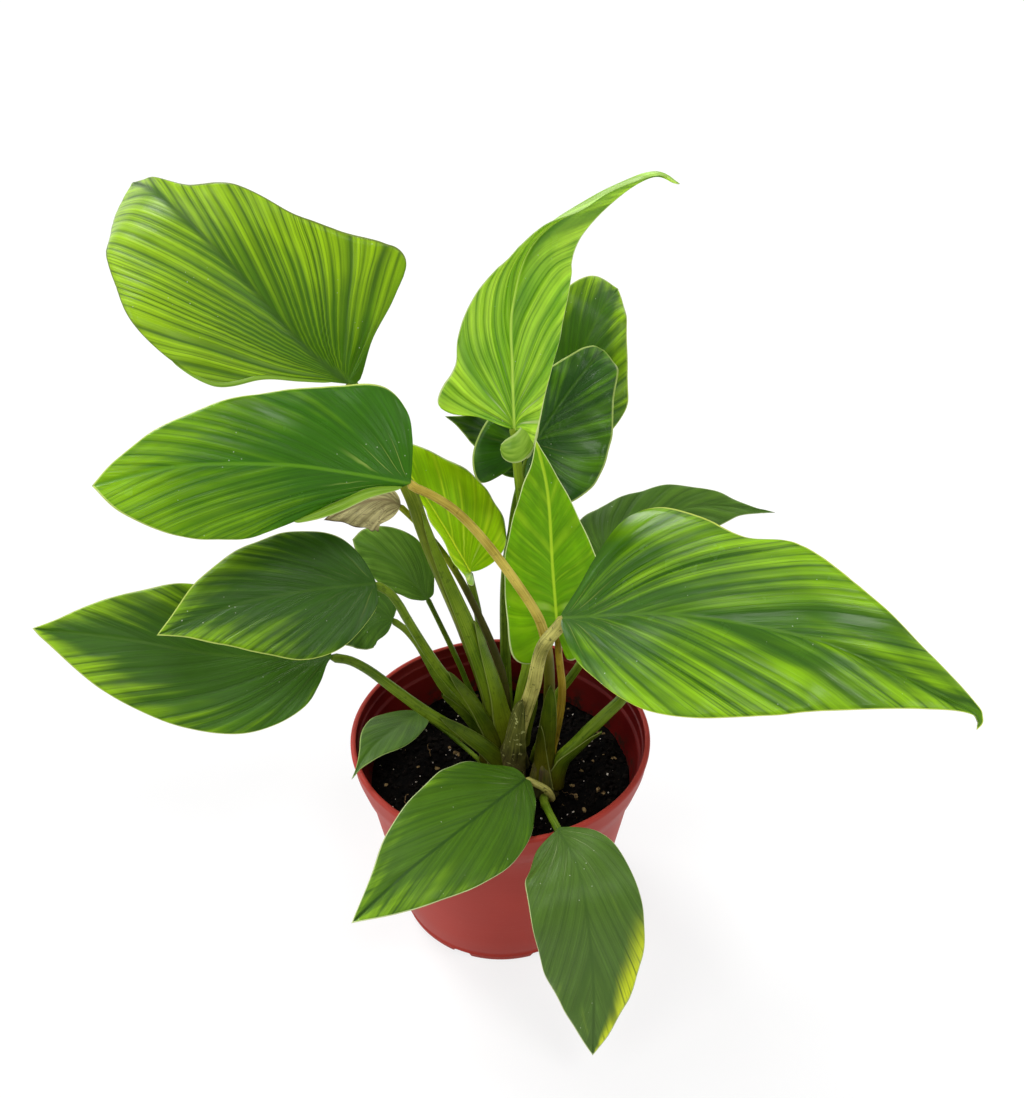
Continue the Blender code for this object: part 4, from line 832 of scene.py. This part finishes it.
def build_sheath(name, centres, stations, sheath, number):
    """A thin split tube round the foot of a stalk, narrowing to a torn tip."""
    rows, cols = SHEATH_CELLS
    along = np.linspace(0, sheath["reach"], rows + 1)
    course = at_length(centres, lengths_along(centres), along)
    rng = random.Random(number * 31 + len("leaf_" + name))
    shells = np.zeros((2, rows + 1, cols + 1, 3))
    for k, axes in enumerate(cross_axes(course, sheath["facing"])):
        rise = k / rows
        girth = 1.06 + (sheath["girth"] - 1.06) * (1 - rise) ** 0.7
        wrap = math.radians(sheath["wrap"]) / 2 * (1 - rise ** 1.4) ** 0.7
        turns = np.linspace(-wrap, wrap, cols + 1)
        flare = 1 + 0.10 * (np.abs(turns) / max(wrap, 0.05)) ** 4
        reach = radius_at(name, along[k] / stations[-1]) * girth * flare + 2.0 * rise ** 5
        for shell, thick in zip(shells, (0.0, SHEATH_THICK)):
            shell[k] = ring(course[k], axes, reach - thick, turns)
    ragged = [rng.uniform(-1.0, 1.0) for _ in range(cols + 1)]
    shells[:, -1, :, 2] += 0.6 * np.array(ragged)
    skin = (np.linspace(0, 1, cols + 1), (along / stations[-1])[:, None])
    finish = stalk_finish(sheath.get("look", "sheath"))
    piece = thin_piece(f"sheath_{name}_{number}", *shells, [finish], {"skin": skin})
    seat(piece, "stalk_" + name)


# ---- finishes ------------------------------------------------------------
class Value:
    """What a node gives. Values can be added, subtracted and multiplied."""

    def __init__(self, nodes, socket):
        self.nodes = nodes
        self.socket = socket

    def __add__(self, other):
        return self.nodes.math("ADD", self, other)

    def __sub__(self, other):
        return self.nodes.math("SUBTRACT", self, other)

    def __rsub__(self, other):
        return self.nodes.math("SUBTRACT", other, self)

    def __mul__(self, other):
        return self.nodes.math("MULTIPLY", self, other)

    def __abs__(self):
        return self.nodes.math("ABSOLUTE", self)


class Nodes:
    """The nodes of a material or world under construction, with short names."""

    def __init__(self, owner):
        owner.use_nodes = True
        self.owner = owner
        self.tree = owner.node_tree
        self.shader = self.tree.nodes.get("Principled BSDF")

    def outputs(self, kind, inputs, **settings):
        """All that a new node gives, by name."""
        node = self.tree.nodes.new(kind)
        for key, value in settings.items():
            setattr(node, key, value)
        for socket, value in inputs.items():
            self.feed(node.inputs[socket], value)
        return {out.name: Value(self, out) for out in node.outputs if out.enabled}

    def make(self, kind, inputs, **settings):
        """The first thing that a new node gives."""
        return next(iter(self.outputs(kind, inputs, **settings).values()))

    def feed(self, socket, value):
        """Link a value to a socket, or set a number or a colour in thousandths."""
        if isinstance(value, Value):
            self.tree.links.new(value.socket, socket)
        elif isinstance(value, tuple):
            socket.default_value = (*(part / 1000 for part in value), 1.0)
        else:
            socket.default_value = value

    def math(self, operation, first, second=0.0):
        return self.make("ShaderNodeMath", {0: first, 1: second}, operation=operation)

    def smooth(self, value, low, high):
        """Rises smoothly from 0 at low to 1 at high."""
        inputs = {"Value": value, "From Min": low, "From Max": high}
        return self.make("ShaderNodeMapRange", inputs, interpolation_type="SMOOTHSTEP")

    def fall(self, value, low, high):
        """Falls smoothly from 1 at low to 0 at high."""
        return 1.0 - self.smooth(value, low, high)

    def mix(self, share, first, second, **settings):
        inputs = {0: share, 6: first, 7: second}
        return self.make("ShaderNodeMix", inputs, data_type="RGBA", **settings)

    def noise(self, vector, scale, detail=2.0, roughness=0.5):
        inputs = {"Vector": vector, "Scale": scale, "Detail": detail, "Roughness": roughness}
        return self.make("ShaderNodeTexNoise", inputs)

    def split(self, vector):
        return self.outputs("ShaderNodeSeparateXYZ", {0: vector}).values()

    def uv(self, layer):
        u, v, _ = self.split(self.make("ShaderNodeUVMap", {}, uv_map=layer))
        return u, v

    def join(self, x, y, z=0.0):
        return self.make("ShaderNodeCombineXYZ", {0: x, 1: y, 2: z})

    def round_skin(self, tall):
        """A place on a round piece without a seam, and the two values of its skin."""
        around, along = self.uv("skin")
        turn = around * (2 * math.pi)
        place = self.join(self.math("COSINE", turn), self.math("SINE", turn), along * tall)
        return place, around, along

    def place(self):
        return self.outputs("ShaderNodeTexCoord", {})["Object"]

    def between(self, value):
        """0 where the value is whole, 1 midway between whole numbers."""
        return 1.0 - abs(self.math("FRACT", value) * 2.0 - 1.0)

    def seen(self):
        """1 on rays that show a thing itself, straight, in a mirror or through glass."""
        rays = self.outputs("ShaderNodeLightPath", {})
        shown = self.math("MAXIMUM", rays["Is Camera Ray"], rays["Is Glossy Ray"])
        return self.math("MAXIMUM", shown, rays["Is Transmission Ray"])

    def bump(self, height, strength, distance):
        inputs = {"Height": height, "Strength": strength, "Distance": distance}
        self.feed(self.shader.inputs["Normal"], self.make("ShaderNodeBump", inputs))

    def finish(self, colour, roughness, shine=0.5):
        self.feed(self.shader.inputs["Base Color"], colour)
        self.feed(self.shader.inputs["Roughness"], roughness)
        self.feed(self.shader.inputs["Specular IOR Level"], shine)
        return self.owner


def new_nodes(name):
    """The nodes of a new material."""
    return Nodes(bpy.data.materials.new(name))


FINISHES = {}


def once(make):
    """Keep each finish after its first use."""
    def kept(*key):
        if (make.__name__, *key) not in FINISHES:
            FINISHES[(make.__name__, *key)] = make(*key)
        return FINISHES[(make.__name__, *key)]
    return kept


def toned(colour, tone):
    return tuple(c * t for c, t in zip(colour, tone))


class LeafNodes(Nodes):
    """The nodes of a blade's upper side, with what its layers say at each point."""

    def __init__(self, owner):
        super().__init__(owner)
        self.phase, self.share = self.uv("veins")
        self.edge, self.reach = self.uv("blade")
        self.out, self.seed = self.uv("rib")
        self.gap = self.between(self.phase)
        self.thin_gap = self.between(self.phase * 3.0)
        self.cloud = self.noise(self.place(), 70.0, 3.0)
        self.fibre = self.streaks(13.0, 1.6, 3.0, 3.0)

    def streaks(self, per_vein, along, shift, detail=2.0):
        """Noise about 0 that runs with the side veins."""
        spot = self.join(self.phase * per_vein, self.share * along, self.seed + shift)
        return self.noise(spot, 1.0, detail, 0.6) - 0.5


def leaf_greens(f, look, tone):
    """The streaked and clouded green between the veins, with painted shade in the furrows at the side veins
    and painted light and shade across the broad folds.
    """
    gap_pull, streak_pull, patch_pull, edge_pull, tip_pull = look["pull"]
    # broad is highest on the crests of the broad folds that the relief raises: painted light there, painted
    # shade between them.
    broad = f.between(f.phase * (1 / FOLD_VEINS) + 0.4)
    level = f.gap * gap_pull + look["bias"] + (broad - 0.5) * look["fold"]
    level += (f.streaks(4.5, 1.1, 0.0, 3.0) + f.streaks(1.3, 0.8, 5.0)) * streak_pull
    level += f.streaks(0.3, 1.9, 9.0) * (patch_pull * 2)
    level += abs(f.share) * edge_pull + (f.reach - 0.4) * tip_pull
    colour = f.mix(f.smooth(level, 0.0, 0.8), toned(look["dark"], tone), toned(look["light"], tone))
    # Darker in the furrows at the side veins (low gap): painted shade. fibre and cloud vary the tone at
    # random.
    furrow_shade_and_tone = f.gap * 0.16 + 0.72 + f.fibre * 0.9 + f.cloud * 0.32
    return f.mix(1.0, colour, f.join(furrow_shade_and_tone, furrow_shade_and_tone, furrow_shade_and_tone), blend_type="MULTIPLY")


def leaf_marks(f, look, tone, colour):
    """A yellow stain, or creases drawn as painted shade, on the leaves that have them."""
    if "stain" in look:
        side, low, high = look["stain"]
        band = f.smooth(f.reach, low, low + 0.2) * f.fall(f.reach, high - 0.1, high)
        near = f.smooth(f.streaks(1.0, 0.8, 2.0) * 0.35 + f.share * side, 0.54, 0.96)
        colour = f.mix(band * near, colour, (500, 580, 10))
    if "creased" in look:
        # Thin dark lines where creases would lie: painted shade of wrinkles that the mesh doesn't have.
        crease_shade = f.fall(abs(f.streaks(0.8, 3.0, 11.0, 4.0)), 0.0, 0.022)
        colour = f.mix(crease_shade * look["creased"], colour, toned(look["vein"], tone))
    return colour


def leaf_lines(f, look, tone, colour):
    """The side veins, the thin veins between them and the pale lines at the foot, which are partly pale
    veins and partly painted sheen.
    """
    vein = toned(look["vein"], tone)
    drawn = f.smooth(f.streaks(0.9, 1.6, 7.0), -0.25, 0.15) * look["line"]
    colour = f.mix(f.fall(f.gap, 0.02, 0.30) * drawn, colour, vein)
    faint = f.smooth(f.streaks(1.7, 1.6, 8.0), -0.15, 0.25) * look["line"]
    colour = f.mix(f.fall(f.thin_gap, 0.05, 0.45) * faint, colour, vein)
    # Pale lines fanning from the foot: partly the veins' own pale colour, partly painted sheen.
    near_foot = f.smooth(f.out, 1.5, 6.0) * f.fall(f.out * 0.014 + f.reach, 0.02, 0.42)
    pale_vein_and_sheen = f.fall(f.between(f.phase * 0.5), 0.02, 0.10) * near_foot * look["foot"]
    return f.mix(pale_vein_and_sheen, colour, look["edge"])


@once
def leaf_finish(name, tone):
    """The upper side, with midrib, margin and a few pale specks over its greens."""
    look = LEAF_LOOKS[name]
    f = LeafNodes(bpy.data.materials.new("leaf_" + name))
    colour = leaf_marks(f, look, tone, leaf_greens(f, look, tone))
    colour = leaf_lines(f, look, tone, colour)
    # The midrib's colour, out to rib_out; the lime look's wide dark band is partly painted shade beside the
    # sunk midrib.
    on_rib = f.fall(f.out, 0.25, look.get("rib_out", 1.1))
    colour = f.mix(on_rib * 0.8, colour, toned(look["rib"], tone))
    colour = f.mix(f.fall(f.edge, 0.45, 1.1), colour, look["edge"])
    dots = f.make("ShaderNodeTexVoronoi", {"Vector": f.place(), "Scale": 330.0})
    rare = f.smooth(f.noise(f.place(), 45.0, 3.0), 0.57, 0.65) * 0.7
    colour = f.mix(f.fall(dots, 0.05, 0.10) * rare, colour, (620, 660, 500))
    f.bump(f.thin_gap * 0.35 + f.fibre + f.cloud * 0.4, 0.5, 0.0004)
    return f.finish(colour, f.cloud * 0.16 + (look["rough"] - 0.08), look["shine"])


@once
def under_finish(name, tone):
    """The lower side: duller and paler, with the side veins standing out."""
    look = LEAF_LOOKS[name]
    f = new_nodes("under_" + name)
    phase, share = f.uv("veins")
    _, seed = f.uv("rib")
    middle = [(d + l) / 2 for d, l in zip(look["dark"], look["light"])]
    pale = tuple(0.72 * c + 30 for c in toned(middle, tone))
    streak = f.noise(f.join(phase * 5.0, share * 2.0, seed), 1.0, 3.0)
    gap = f.between(phase)
    colour = f.mix(streak, tuple(0.75 * c for c in pale), pale)
    colour = f.mix(f.fall(gap, 0.04, 0.2), colour, tuple(1.25 * c + 20 for c in pale))
    f.bump(streak + gap, 0.3, 0.0004)
    return f.finish(colour, streak * 0.15 + 0.42)


@once
def stalk_finish(name):
    look = STALK_LOOKS[name]
    f = new_nodes("stalk_" + name)
    place, around, along = f.round_skin(1.4)
    streak = f.noise(place, 4.5, 3.0, 0.6)
    patch = f.noise(f.place(), 55.0, 3.0)
    level = f.smooth(streak * 0.7 + patch * 0.6, 0.45, 0.85)
    colour = f.mix(level, look["dark"], look["light"])
    start, end, strength = look.get("low", (0.02, 0.28, 0.7))
    colour = f.mix(f.fall(along, start, end) * strength, colour, look["base"])
    fleck = f.smooth(f.noise(f.place(), 420.0, 2.0), 0.60, 0.70) * look.get("flecks", 0.35)
    colour = f.mix(fleck, colour, look.get("fleck", toned(look["dark"], (0.3, 0.3, 0.3))))
    border = f.smooth(abs(around - 0.5), 0.44, 0.49) * look.get("border", 0.0)
    colour = f.mix(border, colour, (340, 380, 110))
    f.bump(streak + patch * 0.5, 0.4, 0.0006)
    return f.finish(colour, patch * 0.2 + (look["rough"] - 0.1), 0.10)


@once
def fold_finish():
    f = new_nodes("leaf_fold")
    across, along = f.uv("skin")
    streak = f.noise(f.join(across * 6.0, along * 2.0), 1.0, 3.0)
    colour = f.mix(f.smooth(streak, 0.35, 0.65), (120, 250, 8), (220, 370, 30))
    colour = f.mix(f.smooth(abs(across - 0.5), 0.40, 0.48) * 0.7, colour, (540, 640, 260))
    f.bump(streak, 0.3, 0.0004)
    return f.finish(colour, streak * 0.1 + 0.35, 0.2)


@once
def pot_finish():
    f = new_nodes("pot_plastic")
    place = f.place()
    broad = f.noise(place, 14.0, 3.0)
    colour = f.mix(f.smooth(broad, 0.3, 0.7), (295, 30, 20), (350, 37, 25))
    _, _, height = f.split(place)
    scuff = f.noise(f.join(0.0, 0.0, height), 900.0, 2.0)
    colour = f.mix(f.smooth(scuff, 0.5, 0.8) * 0.10, colour, (420, 100, 80))
    dust = f.smooth(f.noise(place, 260.0, 4.0, 0.7), 0.62, 0.74)
    colour = f.mix(dust * 0.10, colour, (500, 200, 160))
    f.bump(f.noise(place, 420.0, 3.0) + scuff * 0.5, 0.12, 0.0003)
    return f.finish(colour, broad * 0.14 + 0.42, 0.12)


# The pot's plastic on the inside, much darker than outside: painted shade in the pot's hollow. Blotches of
# dirt darken its lower part further.
@once
def shaded_inner_pot_finish():
    f = new_nodes("pot_inside_painted_shade")
    place = f.place()
    broad = f.noise(place, 20.0, 3.0)
    colour = f.mix(f.smooth(broad, 0.3, 0.7), (90, 3, 3), (140, 8, 6))
    _, _, height = f.split(place)
    dirt = f.smooth(f.noise(place, 190.0, 4.0, 0.7), 0.45, 0.62)
    colour = f.mix(f.fall(height, 0.088, 0.099) * dirt, colour, (30, 12, 8))
    f.bump(f.noise(place, 300.0, 3.0), 0.15, 0.0003)
    return f.finish(colour, broad * 0.15 + 0.38, 0.12)


@once
def soil_finish():
    f = new_nodes("soil_crumb")
    place = f.place()
    clump = f.noise(place, 160.0, 4.0, 0.7)
    colour = f.mix(f.smooth(clump, 0.42, 0.72), (0.6, 0.5, 0.4), (5, 3.5, 2.5))
    grain = f.noise(place, 700.0, 3.0, 0.6)
    colour = f.mix(f.smooth(grain, 0.66, 0.74) * 0.5, colour, (110, 70, 45))
    f.bump(clump + grain, 0.7, 0.0012)
    return f.finish(colour, grain * 0.2 + 0.75, 0.04)


@once
def crumb_finish(name):
    dark, light = {"peat": ((0.6, 0.5, 0.4), (6, 4, 3)),
                   "perlite": ((420, 360, 300), (760, 680, 600)),
                   "bark": ((50, 30, 12), (300, 200, 90)),
                   "root": ((50, 30, 15), (210, 130, 60))}[name]
    f = new_nodes("crumb_" + name)
    mottle = f.noise(f.place(), 480.0, 3.0, 0.6)
    f.bump(mottle, 0.6, 0.0006)
    return f.finish(f.mix(f.smooth(mottle, 0.35, 0.65), dark, light), mottle * 0.2 + 0.7, 0.05)


@once
def crown_finish():
    f = new_nodes("crown_skin")
    place, _, along = f.round_skin(0.5)
    streak = f.noise(place, 5.0, 4.0, 0.6)
    patch = f.noise(f.place(), 120.0, 3.0)
    colour = f.mix(f.smooth(streak, 0.35, 0.65), (30, 40, 3), (110, 95, 8))
    colour = f.mix(f.smooth(patch, 0.52, 0.68), colour, (45, 28, 10))
    colour = f.mix(f.fall(along, 0.0, 0.35) * 0.6, colour, (25, 18, 10))
    f.bump(streak + patch, 0.5, 0.001)
    return f.finish(colour, patch * 0.2 + 0.42)


# ---- pot -----------------------------------------------------------------
pot_low, pot_high = box_mm("pot")
POT_HEIGHT = pot_high[2]
RIM_RADIUS = (pot_high[0] - pot_low[0]) / 2


def outer_radius(height):
    """Outside of the pot wall below the rim band."""
    top = RIM_RADIUS - RIM_STEP - 0.6
    return BASE_RADIUS + (top - BASE_RADIUS) * height / POT_HEIGHT


def steps_from(radius, height, steps):
    """Points of a section, each given as a step out and up from one point."""
    return [(radius + out, height + up) for out, up in steps]


def pot_profile():
    """Half section of the pot: the outside from the middle of the floor up to the rim,
    then the inside down to the floor."""
    band, ledge = POT_HEIGHT - RIM_BAND, POT_HEIGHT - LEDGE_DROP
    inner, wall = RIM_RADIUS - RIM_THICK, outer_radius(band)
    outside = [(0.0, 0.0), (FLOOR_RADIUS, 0.0)]
    outside += steps_from(BASE_RADIUS, 0, [(-2.0, 0), (-0.7, 0.4), (0, 1.6), (0.1, 3.4),
                                           (0.6, 3.8), (0.6, 4.4), (0.2, 4.8)])
    outside += [(outer_radius(h), h) for h in (8, 20, 35, 50, 65, 80, band - 2.2)]
    outside += steps_from(wall, band, [(0.1, -1.2), (0.9, -0.4), (RIM_STEP, 0.6)])
    outside += steps_from(RIM_RADIUS, band, [(-1.3, 10)])
    outside += steps_from(RIM_RADIUS, POT_HEIGHT, [(-0.7, -4.0), (0, -2.2), (0, -1.0),
                                                   (-0.4, -0.3), (-1.1, 0)])
    inside = steps_from(inner, POT_HEIGHT, [(0.9, 0), (0.3, -0.4), (0, -1.2), (-0.1, -5.2),
                                            (-0.4, -5.5), (-1.0, -5.6), (-1.1, -6.0)])
    inside += steps_from(inner, ledge, [(-1.2, 0.3), (-1.4, -0.1)])
    inside += steps_from(inner - LEDGE_STEP, ledge, [(-1.2, -0.4), (-1.3, -1.2)])
    start, high = inside[-1]
    low = outer_radius(POT_FLOOR) - POT_WALL
    inside += [(start + (low - start) * t, high + (POT_FLOOR - high) * t)
               for t in (0.15, 0.3, 0.6, 1.0)]
    inside += [(FLOOR_RADIUS, POT_FLOOR), (0.0, POT_FLOOR)]
    return outside, inside


def build_pot():
    """The pot as one turned wall, with notches under its edge."""
    outside, inside = pot_profile()
    radii, heights = np.array(outside + inside).T[..., None]
    turns = np.linspace(0, 2 * math.pi, POT_SIDES + 1)
    spots = np.stack([radii * np.cos(turns), radii * np.sin(turns), heights + 0 * turns], -1)
    from_drain = np.abs(((turns / (2 * math.pi) * DRAIN_COUNT) % 1) - 0.5) * 2
    wide = DRAIN_WIDTH / BASE_RADIUS / (2 * math.pi) * DRAIN_COUNT
    notched = from_drain < wide
    lift = np.where(notched, DRAIN_HEIGHT * (0.6 + 0.4 * (1 - from_drain / wide)), 0.0)
    for row in BASE_ROWS:
        spots[row, :, 2] = np.maximum(spots[row, :, 2], lift)
        spots[row, :, :2] *= np.where(notched, 0.985, 1.0)[:, None]
    faces = grid_faces(len(spots) - 1, POT_SIDES)
    slots = faces.min(axis=1) // (POT_SIDES + 1) >= len(outside) + 1
    finishes = [pot_finish(), shaded_inner_pot_finish()]
    seat(mesh_piece("pot_shell", spots.reshape(-1, 3), faces, finishes, slots), "pot", True)


# ---- soil ----------------------------------------------------------------
soil_low, soil_high = box_mm("soil")
SOIL_TOP = soil_high[2] - 1.2
SOIL_RADIUS = (soil_high[0] - soil_low[0]) / 2


def ground(x, y, share):
    """Height of the soil at a place, which lies this share of the soil's radius out."""
    swell = noise.fractal(Vector((x * 0.045, y * 0.045, 3.1)), 0.9, 2.1, 4)
    crumb = noise.fractal(Vector((x * 0.35, y * 0.35, 8.4)), 0.8, 2.0, 3)
    return SOIL_TOP + 1.1 * swell + 0.8 * crumb - 1.2 * max(0.0, share - 0.93) / 0.07


def circle(radius, sides):
    """Places round the middle of the pot, the last one on the first."""
    turns = [2 * math.pi * k / sides for k in range(sides + 1)]
    return [(radius * math.cos(turn), radius * math.sin(turn)) for turn in turns]


def build_soil():
    """The soil's uneven top, with a side and a bottom inside the pot."""
    reach = SOIL_RADIUS - 0.1
    rings, sides = SOIL_CELLS
    spots = []
    for r in range(rings + 1):
        spots += [(x, y, ground(x, y, r / rings)) for x, y in circle(reach * r / rings, sides)]
    for radius in (0.985 * reach, 0.0):
        spots += [(x, y, SOIL_TOP - SOIL_DEEP) for x, y in circle(radius, sides)]
    faces = grid_faces(rings + 2, sides)
    seat(mesh_piece("soil_bed", spots, faces, [soil_finish()]), "soil", True)


def lump(centre, sizes, rng, spin):
    """Points and faces of one irregular crumb, squeezed to the given half sizes."""
    body = bmesh.new()
    bmesh.ops.create_icosphere(body, subdivisions=1, radius=1.0)
    cos, sin = math.cos(spin), math.sin(spin)
    spots = []
    for v in body.verts:
        x, y, z = (v.co[k] * sizes[k] * rng.uniform(0.65, 1.15) for k in range(3))
        spots.append((centre[0] + x * cos - y * sin, centre[1] + x * sin + y * cos, centre[2] + z))
    faces = [[v.index for v in face.verts] for face in body.faces]
    body.free()
    return spots, faces


def scatter(name, count, sizes, flat, finish, seed, sink):
    """Crumbs of one kind over the soil, as one piece."""
    rng = random.Random(seed)
    reach = SOIL_RADIUS - 2.5
    spots, faces = [], []
    for _ in range(count):
        share = math.sqrt(rng.uniform(0.02, 1.0))
        turn = rng.uniform(0, 2 * math.pi)
        x, y = reach * share * math.cos(turn), reach * share * math.sin(turn)
        size = rng.uniform(*sizes)
        shape = (size, size * rng.uniform(0.5, 0.9), size * flat * rng.uniform(0.7, 1.1))
        centre = (x, y, ground(x, y, share) + shape[2] * sink)
        made, sides = lump(centre, shape, rng, rng.uniform(0, 2 * math.pi))
        faces += [[v + len(spots) for v in side] for side in sides]
        spots += made
    seat(mesh_piece(name, spots, faces, [crumb_finish(finish)], smooth=False), "soil")


def build_rootlets():
    """Short dead roots that curl over the soil."""
    rng = random.Random(12)
    turns = np.linspace(0, 2 * math.pi, ROOTLET_SIDES + 1)[:-1]
    spots, faces = [], []
    for x, y in ROOTLET_PLACES:
        heading = rng.uniform(0, 2 * math.pi)
        radius = rng.uniform(0.25, 0.5)
        points = []
        for _ in range(9):
            height = max(SOIL_TOP, ground(x, y, 0.5)) + 0.6 + rng.uniform(0.0, 1.6)
            points.append((x, y, height))
            heading += rng.uniform(-0.7, 0.7)
            x += 1.5 * math.cos(heading)
            y += 1.5 * math.sin(heading)
        centres = smooth_curve(points, ROOTLET_RINGS)
        faces += tube_faces(ROOTLET_RINGS, ROOTLET_SIDES, len(spots))
        for k, axes in enumerate(cross_axes(centres, (0.0, 0.3, 1.0))):
            size = radius * (1 - 0.8 * k / (ROOTLET_RINGS - 1))
            spots += list(ring(centres[k], axes, size, turns))
    seat(mesh_piece("dead_rootlets", spots, faces, [crumb_finish("root")]), "soil")


def build_crown(node):
    """A bundle of leaf bases: a low stump with folds running up it."""
    low, high = box_mm(node)
    middle, half = (low + high) / 2, (high - low) / 2
    foot = low[2] - 1.5
    rows, sides = CROWN_CELLS
    spots, layers = [], []
    for rise in [r / rows for r in range(rows + 1)]:
        taper = (1.0 - 0.55 * rise) * math.sqrt(max(0.0, 1 - (max(0.0, rise - 0.6) / 0.4) ** 2))
        for k, (x, y) in enumerate(circle(0.98 * taper, sides)):
            turn = 2 * math.pi * k / sides
            fold = 0.92 + 0.08 * math.sin(4 * turn + 3 * rise) + 0.04 * math.sin(9 * turn)
            spots.append((middle[0] + half[0] * fold * x, middle[1] + half[1] * fold * y,
                          foot + (high[2] - foot) * rise))
            layers.append((k / sides, rise))
    first = len(spots)
    spots += [(middle[0], middle[1], foot)] * (sides + 1)
    layers += [(k / sides, 0.0) for k in range(sides + 1)]
    faces = grid_faces(rows, sides).tolist()
    faces += [[k + 1, k, first + k, first + k + 1] for k in range(sides)]
    seat(mesh_piece(node + "_bundle", spots, faces, [crown_finish()], layers={"skin": layers}),
         node, True)


# ---- room ----------------------------------------------------------------
def build_floor():
    corners = [(x * FLOOR_REACH, y * FLOOR_REACH, 0) for x, y in ((-1, -1), (1, -1), (1, 1), (-1, 1))]
    mesh = bpy.data.meshes.new("floor")
    mesh.from_pydata(corners, [], [[0, 1, 2, 3]])
    f = new_nodes("floor_white")
    colour = f.mix(f.noise(f.place(), 40.0), (880, 880, 880), (910, 910, 910))
    mesh.materials.append(f.finish(colour, 0.9, 0.0))
    glow = f.make("ShaderNodeEmission", {"Color": (1000, 1000, 1000), "Strength": 1.0})
    plain = Value(f, f.shader.outputs[0])
    blend = f.make("ShaderNodeMixShader", {0: f.seen() * FLOOR_GLOW, 1: plain, 2: glow})
    f.feed(f.tree.nodes["Material Output"].inputs["Surface"], blend)
    link("floor", mesh)


def sun(name, azimuth, elevation, strength, spread):
    """A soft lamp far away, seen from the plant at a compass turn and a height."""
    lamp = bpy.data.lights.new(name, "SUN")
    lamp.energy = strength
    lamp.angle = math.radians(spread)
    a, e = math.radians(azimuth), math.radians(elevation)
    away = Vector((math.sin(a) * math.cos(e), -math.cos(a) * math.cos(e), math.sin(e)))
    made = link(name, lamp)
    made.rotation_mode = "QUATERNION"
    made.rotation_quaternion = away.to_track_quat("Z", "Y")


def build_light():
    world = bpy.data.worlds.new("studio")
    bpy.context.scene.world = world
    f = Nodes(world)
    background = f.tree.nodes["Background"].inputs
    f.feed(background["Color"], (1000, 1000, 1000))
    strength = f.make("ShaderNodeMapRange", {"Value": f.seen(), "To Min": ROOM_LIGHT})
    f.feed(background["Strength"], strength)
    sun("key_lamp", -38, 52, 0.8, 22)
    sun("top_lamp", 30, 60, 0.9, 18)
    sun("back_lamp", -140, 47, 2.0, 22)
    sun("left_lamp", -80, 12, 0.9, 26)
    sun("right_lamp", 75, 27, 0.6, 16)


def build_camera():
    lens = bpy.data.cameras.new("camera")
    lens.lens = LENS
    lens.sensor_width = 36.0
    lens.clip_start = 0.01
    camera = link("camera", lens)
    camera.location = CAMERA_PLACE
    camera.rotation_euler = (math.radians(90 - CAMERA_TILT), 0, 0)
    bpy.context.scene.camera = camera


bpy.context.scene.view_settings.view_transform = "Standard"
build_camera()
build_light()
build_floor()
build_pot()
build_soil()
scatter("peat_crumbs", 1500, (0.8, 2.2), 0.7, "peat", 3, 0.3)
build_strip("curl_top_centre", "leaf_top_centre", CURL_RAILS, (0, -2.0, -0.6))
scatter("perlite_bits", 170, (0.3, 1.0), 0.8, "perlite", 5, 0.6)
scatter("bark_chips", 70, (0.8, 2.6), 0.4, "bark", 8, 0.7)
build_rootlets()
for node in ("crown_left", "crown_right"):
    build_crown(node)
for seed, (name, leaf) in enumerate(LEAVES.items()):
    joint = build_blade(name, leaf, seed + 1)
    course = course_of(name, joint)
    build_stalk(name, *course)
    for number, sheath in enumerate(SHEATHS.get(name, [])):
        build_sheath(name, *course, sheath, number + 1)
